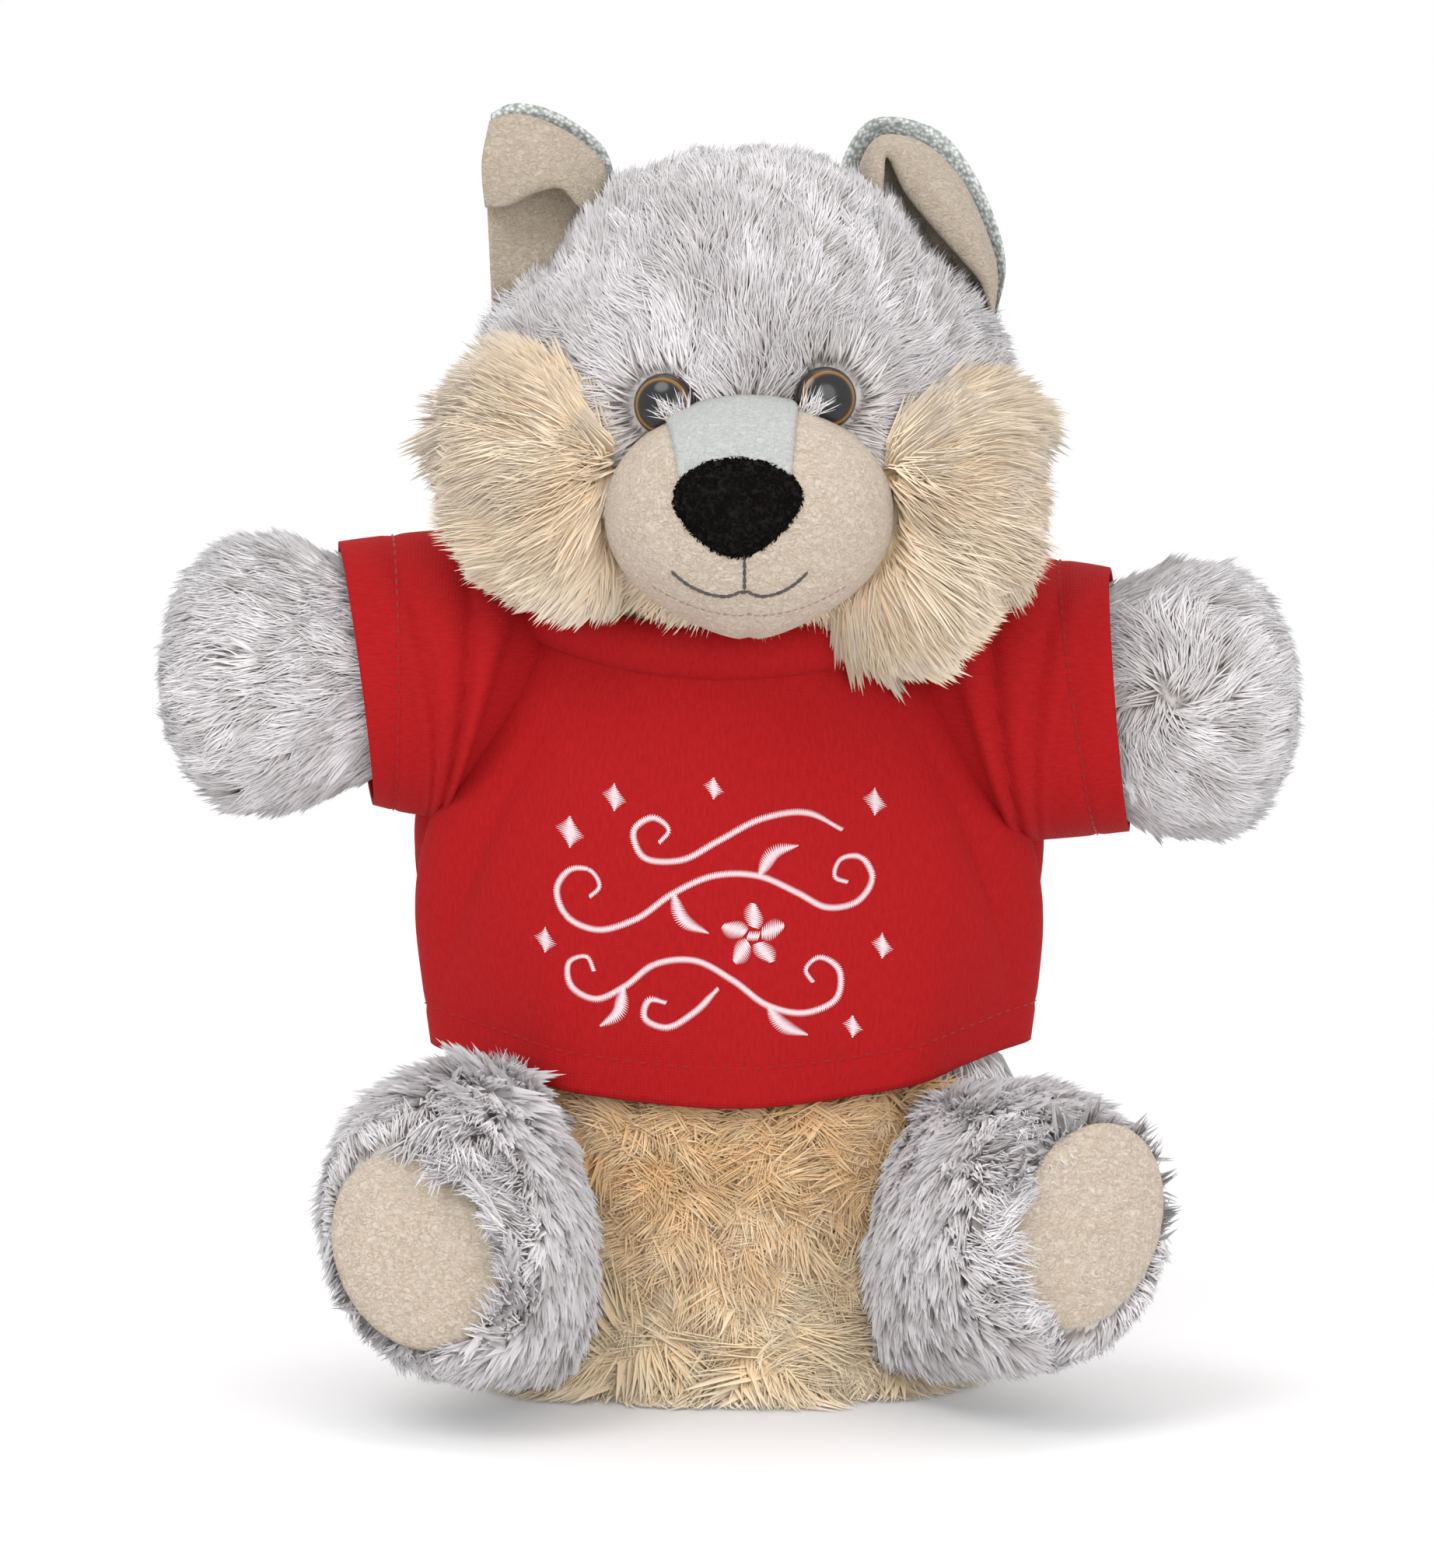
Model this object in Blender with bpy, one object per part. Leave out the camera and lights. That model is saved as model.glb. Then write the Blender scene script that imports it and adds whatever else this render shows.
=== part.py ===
"""Plush hand puppet: a sitting wolf in a T-shirt, at its real size, in metres, +Z up.

The head and the feet are stuffed. The body and the arms are a hollow glove, open at its lower hem.
The origin is on the floor under the middle of the puppet, +X is the viewer's right, and -Y is the front.
"""

import math

import bmesh
import bpy
from mathutils import Vector

MM = 0.001
SEAT_GAP = 0.3 * MM  # between two pieces that are sewn or set against each other

# Head: a stuffed ball of frosted plush, its pile included
HEAD_AT = Vector((2.5, 14.0, 202.5)) * MM
HEAD_HALF = Vector((55.5, 52.0, 51.5)) * MM
HEAD_SEGMENTS, HEAD_RINGS = 34, 18
HEAD_LOCK = 0.9 * MM

# Finger pocket in the head, and the sewn lining tube inside it
POCKET_AT = Vector((0.0, 24.0)) * MM
POCKET_RADIUS = 15.0 * MM
POCKET_TOP = 206.0 * MM
POCKET_MOUTH = 120.0 * MM  # below the neck, where the hole is already open
LINING_WALL = 1.0 * MM
LINING_FOOT = 158.0 * MM

# Muzzle: a short-pile ball sewn to the front of the head
MUZZLE_AT = HEAD_AT + Vector((0.5, -46.0, -23.0)) * MM
MUZZLE_HALF = Vector((28.6, 30.0, 22.5)) * MM
CHIN_DROP = 2.0 * MM

# Nose and the pale patch on the bridge above it
NOSE_AT = MUZZLE_AT + Vector((-2.1, -25.5, 1.8)) * MM
NOSE_HALF = Vector((13.0, 8.5, 10.2)) * MM
BRIDGE_LEFT, BRIDGE_RIGHT = -12.3 * MM, 12.0 * MM
BRIDGE_FROM, BRIDGE_TO = 24.0, 100.0  # degrees over the muzzle, from its front
BRIDGE_WALL = 0.9 * MM

# Cheek ruffs: long cream pile, wedge-shaped balls with a jagged edge of locks
CHEEK_AT = {
    "left": HEAD_AT + Vector((-36.5, -20.0, -16.5)) * MM,
    "right": HEAD_AT + Vector((35.5, -21.0, -24.0)) * MM,
}
CHEEK_HALF = {"left": Vector((26.5, 33.0, 31.0)) * MM, "right": Vector((26.0, 34.0, 34.0)) * MM}
CHEEK_TILT = {"left": -22.0, "right": 17.0}
CHEEK_LOCK = 1.5 * MM
CHEEK_LOCKS = 13

# Safety eyes: a domed disc on a stem, locked inside the head by a washer
EYE_X = {"left": HEAD_AT.x - 16.6 * MM, "right": HEAD_AT.x + 15.8 * MM}
EYE_Z = {"left": HEAD_AT.z - 0.7 * MM, "right": HEAD_AT.z + 0.7 * MM}
EYE_RADIUS = 6.2 * MM
EYE_DOME = 3.4 * MM
EYE_RIM = 1.6 * MM
EYE_SUNK = 1.0 * MM
STEM_RADIUS = 1.6 * MM
STEM_LENGTH = 9.0 * MM
WASHER_RADIUS = 5.0 * MM
WASHER_WALL = 1.5 * MM
WASHER_DEPTH = 4.5 * MM

# Ears: a tweed back and a velour front, cupped
EAR_AT = {
    "left": HEAD_AT + Vector((-36.5, -6.0, 29.5)) * MM,
    "right": HEAD_AT + Vector((33.0, -7.0, 27.0)) * MM,
}
EAR_TURN = {"left": (-6.0, -15.0, -10.0), "right": (4.0, 25.0, 20.0)}
EAR_HALF_WIDTH = {"left": 18.0 * MM, "right": 20.5 * MM}
EAR_HEIGHT = {"left": 28.5 * MM, "right": 29.0 * MM}
EAR_CUP = {"left": 7.0 * MM, "right": 11.0 * MM}
EAR_CURL = 4.0 * MM  # how far the tip leans forward
EAR_SUNK = 9.0 * MM
EAR_UPS = (-1.0, 0.0, 0.2, 0.4, 0.58, 0.74, 0.87, 0.96, 0.995)  # -1 is the foot, sunk in the head
EAR_INNER_WALL = 2.0 * MM
EAR_OUTER_WALL = 1.8 * MM
EAR_RIM = 1.6 * MM  # how far the tweed back shows round the front

# Glove body: height, half width and half depth of the outside of its pile
BODY_Y = 24.0 * MM
BODY_PROFILE = (
    (0.0, 52.0, 40.0),
    (12.0, 54.0, 39.0),
    (32.0, 56.0, 38.0),
    (60.0, 57.5, 36.5),
    (90.0, 58.0, 35.0),
    (118.0, 55.5, 32.5),
    (138.0, 51.0, 30.0),
    (150.0, 44.0, 28.0),
    (158.0, 34.0, 26.0),
    (168.0, 27.0, 24.0),
)
BODY_WALL = 5.0 * MM
BODY_LOCK = 0.8 * MM
BODY_LOCK_PITCH = 100.0 * MM
# Panels: degrees each side of the front that the front one covers, degrees left open at a seam, columns
BODY_COLUMNS = (52.0, 0.4, 13, 21)

# Arms: hollow mittens
ARM_FROM = {"left": Vector((-38.0, 24.0, 145.5)) * MM, "right": Vector((36.5, 24.0, 140.5)) * MM}
ARM_TURN = {"left": 186.0, "right": -6.0}
ARM_LIFT = {"left": 0.0, "right": 0.5}
ARM_PROFILE = (
    (0.0, 18.0, 14.5),
    (14.0, 18.5, 15.5),
    (24.0, 18.5, 19.5),
    (34.0, 19.0, 22.5),
    (44.0, 20.5, 25.5),
    (53.0, 22.0, 29.0),
    (63.0, 21.5, 29.5),
    (72.0, 17.5, 24.5),
    (78.0, 11.0, 15.5),
)
ARM_LENGTH = 80.5 * MM
ARM_POCKET_RADIUS = 12.0 * MM
ARM_POCKET_LENGTH = 60.0 * MM
ARM_BORE_IN, ARM_BORE_OUT = 10.0 * MM, 40.0 * MM  # past the arm's root, each way
ARM_LOCK = 0.8 * MM
ARM_CLEARANCE = 0.7 * MM  # between an arm and the shirt round it

# Legs: stuffed feet, along the leg from the hip, with a velour sole on the end
LEG_FROM = {"left": Vector((-45.0, -11.0, 32.5)) * MM, "right": Vector((46.0, -12.5, 30.5)) * MM}
LEG_RISE = -9.0
LEG_ROLL = {"left": -15.0, "right": 18.0}
LEG_SPLAY = {"left": -20.0, "right": 28.0}
LEG_PROFILE = (
    (-16.0, 12.0, 31.0, 1.0),
    (0.0, 18.0, 34.0, 1.0),
    (16.0, 24.0, 34.0, 0.5),
    (32.0, 26.0, 33.0, 0.0),
    (43.0, 25.0, 30.0, -2.0),
    (48.0, 22.5, 26.5, -3.0),
)
LEG_LENGTH = 50.0 * MM
LEG_HEIGHT = {"left": 0.98, "right": 0.91}  # a share of the heights in the profile
LEG_LOCK = 1.0 * MM
SOLE_HALF = {"left": Vector((17.5, 20.2)) * MM, "right": Vector((16.6, 21.2)) * MM}
SOLE_SET = {"left": -4.0 * MM, "right": 2.0 * MM}
SOLE_DOME = 3.2 * MM
SOLE_LEAN = 0.05  # how far the sole leans back for each step up

# T-shirt: height, half width and half depth of the inside of the cloth
SHIRT_PROFILE = (
    (56.0, 58.5, 41.5),
    (70.0, 59.5, 40.0),
    (90.0, 60.5, 38.0),
    (108.0, 60.0, 36.5),
    (124.0, 58.5, 35.0),
    (138.0, 55.0, 33.8),
    (149.0, 49.5, 33.0),
    (158.0, 45.5, 32.5),
)
SHIRT_COLUMNS = (90.0, 0.4, 33, 23)
SHIRT_ROWS = (0.0, 0.12, 0.24, 0.36, 0.48, 0.6, 0.72, 0.82, 0.91, 1.0)
SHIRT_X = -1.0 * MM
SHIRT_WALL = 1.2 * MM
SHIRT_FOLD = 3.4 * MM
RIPPLES_FROM, RIPPLES_OVER = 128.0 * MM, 72.0 * MM  # the ripples start here and grow over this drop
ARMPIT_AT, ARMPIT_OVER = 112.0 * MM, 24.0 * MM
DRAG_PITCH = 9.0 * MM
HEM_FRONT, HEM_SIDE = 60.0 * MM, 70.0 * MM
NECK_FRONT, NECK_SIDE = 147.0 * MM, 158.0 * MM
COLLAR_HEIGHT = 8.5 * MM
COLLAR_WALL = 1.8 * MM
COLLAR_LEAN = 1.5 * MM
SLEEVE_FROM, SLEEVE_TO = 13.0 * MM, {"left": 40.0 * MM, "right": 43.5 * MM}
RAGLAN_LEAN = 0.34  # how far the seam moves towards the neck for each step up
SLEEVE_SLANT = {"left": 0.13, "right": -0.09}
SLEEVE_HALF = {"start": Vector((25.5, 28.5)) * MM, "end": Vector((23.5, 26.0)) * MM}
SLEEVE_FOLD = 2.2 * MM

SIDES = ("left", "right")


# Materials

def make_material(name, colour, roughness):
    """A plain material, with its colour given in linear light."""
    material = bpy.data.materials.new(name)
    material.use_nodes = True
    shader = material.node_tree.nodes["Principled BSDF"]
    shader.inputs["Base Color"].default_value = (*colour, 1.0)
    shader.inputs["Roughness"].default_value = roughness
    shader.inputs["Metallic"].default_value = 0.0
    return material


# Meshes and objects

def make_object(name, mesh, material, parent=None, location=(0, 0, 0), turn=(0, 0, 0)):
    """An object placed by its location and its turn in degrees, with its faces pointing out."""
    bmesh.ops.recalc_face_normals(mesh, faces=mesh.faces)
    data = bpy.data.meshes.new(name)
    mesh.to_mesh(data)
    mesh.free()
    data.shade_smooth()
    made = bpy.data.objects.new(name, data)
    bpy.context.scene.collection.objects.link(made)
    made.parent = parent
    made.location = location
    made.rotation_euler = [math.radians(angle) for angle in turn]
    if material:
        data.materials.append(material)
    return made


def make_cutter(name, mesh, parent=None, location=(0, 0, 0), turn=(0, 0, 0)):
    """A helper solid that cuts other pieces and isn't part of the puppet."""
    made = make_object(name, mesh, None, parent, location, turn)
    made.hide_render = True
    made.display_type = "WIRE"
    return made


def cut(piece, *cutters):
    for cutter in cutters:
        modifier = piece.modifiers.new(cutter.name, "BOOLEAN")
        modifier.operation = "DIFFERENCE"
        modifier.solver = "EXACT"
        modifier.object = cutter


def patch_of(mesh, a, b, c, d):
    """A four-sided patch as two triangles, so that two skins on the same points lie in step."""
    mesh.faces.new((a, b, c))
    mesh.faces.new((a, c, d))


def ring_solid(rings, first_pole=None, last_pole=None):
    """A closed solid skinned over rings of points, each end closed to a pole or by a flat face."""
    mesh = bmesh.new()
    loops = [[mesh.verts.new(point) for point in ring] for ring in rings]
    count = len(rings[0])
    for lower, upper in zip(loops, loops[1:]):
        for i in range(count):
            j = (i + 1) % count
            patch_of(mesh, lower[i], lower[j], upper[j], upper[i])
    for loop, pole in ((loops[0], first_pole), (loops[-1], last_pole)):
        if pole is None:
            mesh.faces.new(loop)
            continue
        tip = mesh.verts.new(pole)
        for i in range(count):
            mesh.faces.new((loop[i], loop[(i + 1) % count], tip))
    return mesh


def sheet_solid(outside, inside, closed=False):
    """A closed solid between two grids of points. A closed one joins its first and last columns."""
    mesh = bmesh.new()
    layers = [[[mesh.verts.new(p) for p in row] for row in grid] for grid in (outside, inside)]
    rows, columns = len(outside), len(outside[0])
    steps = columns if closed else columns - 1
    for grid in layers:
        for i in range(rows - 1):
            for j in range(steps):
                k = (j + 1) % columns
                patch_of(mesh, grid[i][j], grid[i][k], grid[i + 1][k], grid[i + 1][j])
    front, back = layers
    for i in (0, rows - 1):
        for j in range(steps):
            k = (j + 1) % columns
            patch_of(mesh, front[i][j], front[i][k], back[i][k], back[i][j])
    if not closed:
        for j in (0, columns - 1):
            for i in range(rows - 1):
                patch_of(mesh, front[i][j], front[i + 1][j], back[i + 1][j], back[i][j])
    return mesh


def lathe(profile, segments):
    """A solid turned about local Z from (radius, height) points whose two ends lie on the axis."""
    angles = [math.tau * i / segments for i in range(segments)]
    rings = [[(r * math.cos(a), r * math.sin(a), z) for a in angles] for r, z in profile[1:-1]]
    return ring_solid(rings, (0, 0, profile[0][1]), (0, 0, profile[-1][1]))


def ball(half, segments, rings, axis, relief=None, grow=0.0):
    """An ellipsoid with its poles on an axis. relief(polar, turn) raises its surface into locks."""
    points = []
    for i in range(rings + 1):
        polar = math.pi * i / rings
        row = []
        for j in range(segments):
            turn = math.tau * j / segments
            across, up, along = (
                math.sin(polar) * math.cos(turn),
                math.sin(polar) * math.sin(turn),
                math.cos(polar),
            )
            way = Vector((across, up, along)) if axis == "Z" else Vector((across, -along, up))
            raised = grow + (relief(polar, turn) if relief else 0.0)
            row.append(Vector((way.x * (half.x + raised), way.y * (half.y + raised), way.z * (half.z + raised))))
        points.append(row)
    return ring_solid(points[1:-1], points[0][0], points[-1][0])


def between(profile, place):
    """The sizes at a place along a profile, in metres, smoothly joined from one row to the next."""
    place = min(max(place / MM, profile[0][0]), profile[-1][0])
    for low, high in zip(profile, profile[1:]):
        if place <= high[0]:
            share = (place - low[0]) / (high[0] - low[0])
            return [(a + (b - a) * share) * MM for a, b in zip(low[1:], high[1:])]
    return [size * MM for size in profile[-1][1:]]


def locks(height, *waves):
    """Fur locks as a relief: products of sines at different scales, from nothing up to height."""
    def relief(first, second):
        total = 0.0
        for rate_a, rate_b, start in waves:
            total += math.sin(rate_a * first + start) * math.sin(rate_b * second + 2.0 * start)
        return height * (0.5 + 0.5 * total / len(waves))
    return relief


# Body forms shared by the pieces and by what is cut to fit them

body_locks = locks(BODY_LOCK, (60.0, 13.0, 0.4), (38.0, 19.0, 1.7))


def body_point(turn, height, inset=0.0):
    """A point on the glove at a turn from its front and a height, moved in by inset."""
    half_width, half_depth = between(BODY_PROFILE, height)
    raised = body_locks(height / BODY_LOCK_PITCH, turn) if inset <= 0.0 else 0.0
    return Vector((
        (half_width + raised - inset) * math.sin(turn),
        BODY_Y - (half_depth + raised - inset) * math.cos(turn),
        height,
    ))


def shirt_fold(turn, height):
    """How far the cloth stands out: ripples that grow towards the hem, and drags out of the armpits."""
    down = min(max((RIPPLES_FROM - height) / RIPPLES_OVER, 0.0), 1.0)
    ripple = 0.5 + 0.5 * math.sin(8.0 * turn + 1.1 + 0.6 * math.sin(2.0 * turn))
    side = abs(math.sin(turn))
    armpit = math.exp(-((height - ARMPIT_AT) / ARMPIT_OVER) ** 2) * side ** 2
    slope = math.copysign(height, math.sin(turn)) / DRAG_PITCH
    drag = 0.5 + 0.5 * math.sin(11.0 * turn + slope)
    return SHIRT_FOLD * (0.75 * down * ripple + 0.9 * armpit * drag)


def shirt_point(turn, height, out=0.0):
    half_width, half_depth = between(SHIRT_PROFILE, height)
    stands = shirt_fold(turn, height) + out
    return Vector((
        SHIRT_X + (half_width + stands) * math.sin(turn),
        BODY_Y - (half_depth + stands) * math.cos(turn),
        height,
    ))


def spread(first, last, count):
    return [first + (last - first) * i / (count - 1) for i in range(count)]


def panel_turns(span, seam, front_count, back_count):
    """The turns of the columns of a front and a back panel that meet at two seams."""
    span, seam = math.radians(span), math.radians(seam)
    front = spread(-span + seam, span - seam, front_count)
    back = spread(span + seam, math.tau - span - seam, back_count)
    return front, back


def panel(point, turns, heights_at, wall_out, wall_in):
    """A curved cloth panel: rows run from its lower edge to its upper edge at every turn."""
    outside, inside = [], []
    for share in heights_at["shares"]:
        outer_row, inner_row = [], []
        for turn in turns:
            low, high = heights_at["low"](turn), heights_at["high"](turn)
            height = low + (high - low) * share
            outer_row.append(point(turn, height, wall_out))
            inner_row.append(point(turn, height, wall_in))
        outside.append(outer_row)
        inside.append(inner_row)
    return sheet_solid(outside, inside)


# Head pieces

head_locks = locks(HEAD_LOCK, (15.0, 9.0, 0.3), (11.0, 14.0, 1.9))


def head_form(grow):
    return ball(HEAD_HALF, HEAD_SEGMENTS, HEAD_RINGS, "Z", head_locks, grow)


def on_head(x, z):
    """The point on the front of the head's ball at x and z, and the way that it faces."""
    across, up = (x - HEAD_AT.x) / HEAD_HALF.x, (z - HEAD_AT.z) / HEAD_HALF.z
    ahead = math.sqrt(1.0 - across * across - up * up)
    place = Vector((x, HEAD_AT.y - HEAD_HALF.y * ahead, z))
    facing = Vector((across / HEAD_HALF.x, -ahead / HEAD_HALF.y, up / HEAD_HALF.z)).normalized()
    return place, facing


def make_head(head, plush, lining):
    crown = make_object("head_crown", head_form(0.0), plush, head)
    bore = make_cutter(
        "cut_finger_pocket",
        lathe(
            [
                (0, POCKET_MOUTH),
                (POCKET_RADIUS, POCKET_MOUTH),
                (POCKET_RADIUS, POCKET_TOP - POCKET_RADIUS / 2),
                (POCKET_RADIUS * 0.75, POCKET_TOP - POCKET_RADIUS / 6),
                (0, POCKET_TOP),
            ],
            20,
        ),
        location=(*POCKET_AT, 0),
    )
    cut(crown, bore)
    outer = POCKET_RADIUS - SEAT_GAP
    inner = outer - LINING_WALL
    shoulder = POCKET_TOP - POCKET_RADIUS / 2 - SEAT_GAP
    crown_of_tube = POCKET_TOP - SEAT_GAP
    make_object(
        "finger_pocket_lining",
        lathe(
            [
                (0, crown_of_tube),
                (outer * 0.74, crown_of_tube - POCKET_RADIUS / 6),
                (outer, shoulder),
                (outer, LINING_FOOT),
                (inner, LINING_FOOT),
                (inner, shoulder),
                (inner * 0.74, crown_of_tube - POCKET_RADIUS / 6 - LINING_WALL),
                (0, crown_of_tube - LINING_WALL),
            ],
            20,
        ),
        lining,
        location=(*POCKET_AT, 0),
    )
    return crown


def chin_form(grow):
    """The muzzle's ball, with its lower half drawn down to a soft chin."""
    mesh = ball(MUZZLE_HALF, 26, 12, "Y", None, grow)
    for vert in mesh.verts:
        low = max(-vert.co.z / MUZZLE_HALF.z, 0.0)
        narrow = math.exp(-((vert.co.x / (0.4 * MUZZLE_HALF.x)) ** 2))
        vert.co.z -= CHIN_DROP * low * low * narrow
    return mesh


def bridge_mesh():
    """A strip that lies over the top of the muzzle, from the nose back to the head."""
    def point(x, turn, out):
        rest = math.sqrt(1.0 - ((x - MUZZLE_AT.x) / MUZZLE_HALF.x) ** 2)
        return Vector((
            x,
            MUZZLE_AT.y - (MUZZLE_HALF.y * rest + out) * math.cos(turn),
            MUZZLE_AT.z + (MUZZLE_HALF.z * rest + out) * math.sin(turn),
        ))
    turns = [math.radians(a) for a in spread(BRIDGE_FROM, BRIDGE_TO, 8)]
    across = spread(BRIDGE_LEFT, BRIDGE_RIGHT, 7)
    seat = 2 * SEAT_GAP
    outside = [[point(x, turn, seat + BRIDGE_WALL) for x in across] for turn in turns]
    inside = [[point(x, turn, seat) for x in across] for turn in turns]
    return sheet_solid(outside, inside)


def make_muzzle(velour, patch, fleece, head_cut, eye_cuts):
    muzzle = make_object("muzzle", chin_form(0.0), velour, location=MUZZLE_AT)
    cut(muzzle, head_cut, *eye_cuts)
    nose = make_object("nose", ball(NOSE_HALF, 20, 8, "Y"), fleece, location=NOSE_AT)
    nose_cut = make_cutter("cut_nose", ball(NOSE_HALF, 20, 8, "Y", None, SEAT_GAP), location=NOSE_AT)
    muzzle_cut = make_cutter("cut_muzzle", chin_form(SEAT_GAP), location=MUZZLE_AT)
    cut(nose, muzzle_cut)
    bridge = make_object("muzzle_bridge", bridge_mesh(), patch)
    cut(bridge, nose_cut, head_cut, *eye_cuts)
    return muzzle_cut


def cheek_locks(polar, turn):
    """Locks as a saw of alternate long and short points round the edge of the ruff."""
    edge = math.sin(polar) ** 4
    uneven = 0.75 + 0.25 * math.sin(3.0 * turn)
    return CHEEK_LOCK * edge * (math.cos(CHEEK_LOCKS * turn) * uneven + 0.6 * math.sin(5.0 * turn + 1.0))


def make_cheeks(plush, cutters, sleeve_forms):
    for side, sleeve_form in zip(SIDES, sleeve_forms):
        form = ball(CHEEK_HALF[side], 2 * CHEEK_LOCKS, 11, "Y", cheek_locks)
        turn = (0, CHEEK_TILT[side], 0)
        cheek = make_object("cheek_" + side, form, plush, None, CHEEK_AT[side], turn)
        cut(cheek, sleeve_form, *cutters)


# Eyes

def make_eyes(plastic, nylon, crown):
    """Each eye is set in a socket in the head, and its stem runs through the washer behind it."""
    cutters = []
    for side in SIDES:
        surface, facing = on_head(EYE_X[side], EYE_Z[side])
        seat = bpy.data.objects.new("seat_eye_" + side, None)
        bpy.context.scene.collection.objects.link(seat)
        seat.location = surface - facing * EYE_SUNK
        seat.rotation_euler = facing.to_track_quat("Z", "Y").to_euler()
        dome = [
            (EYE_RADIUS * math.sin(math.radians(a)), EYE_DOME * math.cos(math.radians(a)))
            for a in (0, 28, 54, 76, 90)
        ]
        dome[0] = (0, EYE_DOME)
        stem = [
            (EYE_RADIUS, -EYE_RIM),
            (STEM_RADIUS, -EYE_RIM),
            (STEM_RADIUS, -EYE_RIM - STEM_LENGTH),
            (0, -EYE_RIM - STEM_LENGTH),
        ]
        make_object("eye_" + side, lathe(dome + stem, 18), plastic, seat)
        top = -EYE_RIM - WASHER_DEPTH
        bore = STEM_RADIUS + SEAT_GAP
        angles = [math.tau * i / 12 for i in range(12)]
        rim, hole = (
            [[(r * math.cos(a), r * math.sin(a), z) for a in angles] for z in (top, top - WASHER_WALL)]
            for r in (WASHER_RADIUS, bore)
        )
        make_object("eye_washer_" + side, sheet_solid(rim, hole, closed=True), nylon, seat)
        socket = [
            (0, 3 * EYE_DOME),
            (EYE_RADIUS + SEAT_GAP, 3 * EYE_DOME),
            (EYE_RADIUS + SEAT_GAP, -EYE_RIM - SEAT_GAP),
            (bore, -EYE_RIM - SEAT_GAP),
            (bore, top + SEAT_GAP),
            (WASHER_RADIUS + SEAT_GAP, top + SEAT_GAP),
            (WASHER_RADIUS + SEAT_GAP, top - WASHER_WALL - SEAT_GAP),
            (bore, top - WASHER_WALL - SEAT_GAP),
            (bore, -EYE_RIM - STEM_LENGTH - SEAT_GAP),
            (0, -EYE_RIM - STEM_LENGTH - SEAT_GAP),
        ]
        cutter = make_cutter("cut_eye_" + side, lathe(socket, 18), seat)
        cut(crown, cutter)
        cutters.append(cutter)
    return cutters


# Ears

def ear_point(side, across, up, back, grow):
    """A point of an ear: a leaf with a rounded tip, cupped so that its edges come forward."""
    full = EAR_HALF_WIDTH[side] + grow
    rise = max(up, 0.0)
    x = full * (1.0 - rise ** 2.1) ** 0.6 * across
    z = (EAR_HEIGHT[side] + grow) * up if up > 0.0 else EAR_SUNK * up
    cup = EAR_CUP[side] * (1.0 - (x / full) ** 2)
    curl = -EAR_CURL * rise * rise
    return Vector((x, cup + curl + back, z))


def make_ears(velour, tweed, head_cut):
    acrosses = spread(-1.0, 1.0, 11)
    for side in SIDES:
        for name, material, back, wall, grow in (
            ("ear_front_", velour, 0.0, EAR_INNER_WALL, 0.0),
            ("ear_back_", tweed, EAR_INNER_WALL + SEAT_GAP, EAR_OUTER_WALL, EAR_RIM),
        ):
            faces = [
                [[ear_point(side, a, u, depth, grow) for a in acrosses] for u in EAR_UPS]
                for depth in (back, back + wall)
            ]
            ear = make_object(name + side, sheet_solid(*faces), material, None, EAR_AT[side], EAR_TURN[side])
            cut(ear, head_cut)


# Glove body

def make_body(grey, cream, head_cut, arm_bores):
    front_turns, back_turns = panel_turns(*BODY_COLUMNS)
    rows = [row[0] / BODY_PROFILE[-1][0] for row in BODY_PROFILE]
    edges = {
        "shares": rows,
        "low": lambda turn: 0.0,
        "high": lambda turn: BODY_PROFILE[-1][0] * MM,
    }
    belly = make_object(
        "belly_panel",
        panel(body_point, front_turns, edges, 0.0, BODY_WALL),
        cream,
    )
    back = make_object(
        "back_panel",
        panel(body_point, back_turns, edges, 0.0, BODY_WALL),
        grey,
    )
    cut(belly, head_cut)
    cut(back, head_cut, *arm_bores)


# Arms

def arm_rings(grow, segments, relief):
    rings = []
    for row, (along, half_depth, half_height) in enumerate(ARM_PROFILE):
        ring = []
        for i in range(segments):
            turn = math.tau * i / segments
            raised = grow + (relief(along / 12.0, turn) if relief else 0.0)
            ring.append(Vector((
                along * MM,
                (half_depth * MM + raised) * math.cos(turn),
                (half_height * MM + raised) * math.sin(turn),
            )))
        rings.append(ring)
    return rings


def arm_mesh(segments=18):
    """A mitten as one skin: over the outside to its tip, and back down the finger pocket inside."""
    relief = locks(ARM_LOCK, (3.0, 6.0, 0.5), (2.0, 9.0, 1.3))
    outer = arm_rings(0.0, segments, relief)
    far, bend = ARM_POCKET_LENGTH, ARM_POCKET_RADIUS
    dome = ((far, 0.45), (far - 5 * bend / 12, 0.85), (far - bend, 1.0))
    inner_rows = dome + ((far / 2, 1.0), (0.0, 1.0))
    inner = []
    for along, share in inner_rows:
        radius = ARM_POCKET_RADIUS * share
        inner.append([
            Vector((along, radius * math.cos(math.tau * i / segments), radius * math.sin(math.tau * i / segments)))
            for i in range(segments)
        ])
    tip = Vector((ARM_LENGTH, 0, 0))
    depth = Vector((far + bend / 6, 0, 0))
    return ring_solid(inner + outer, depth, tip)


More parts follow.
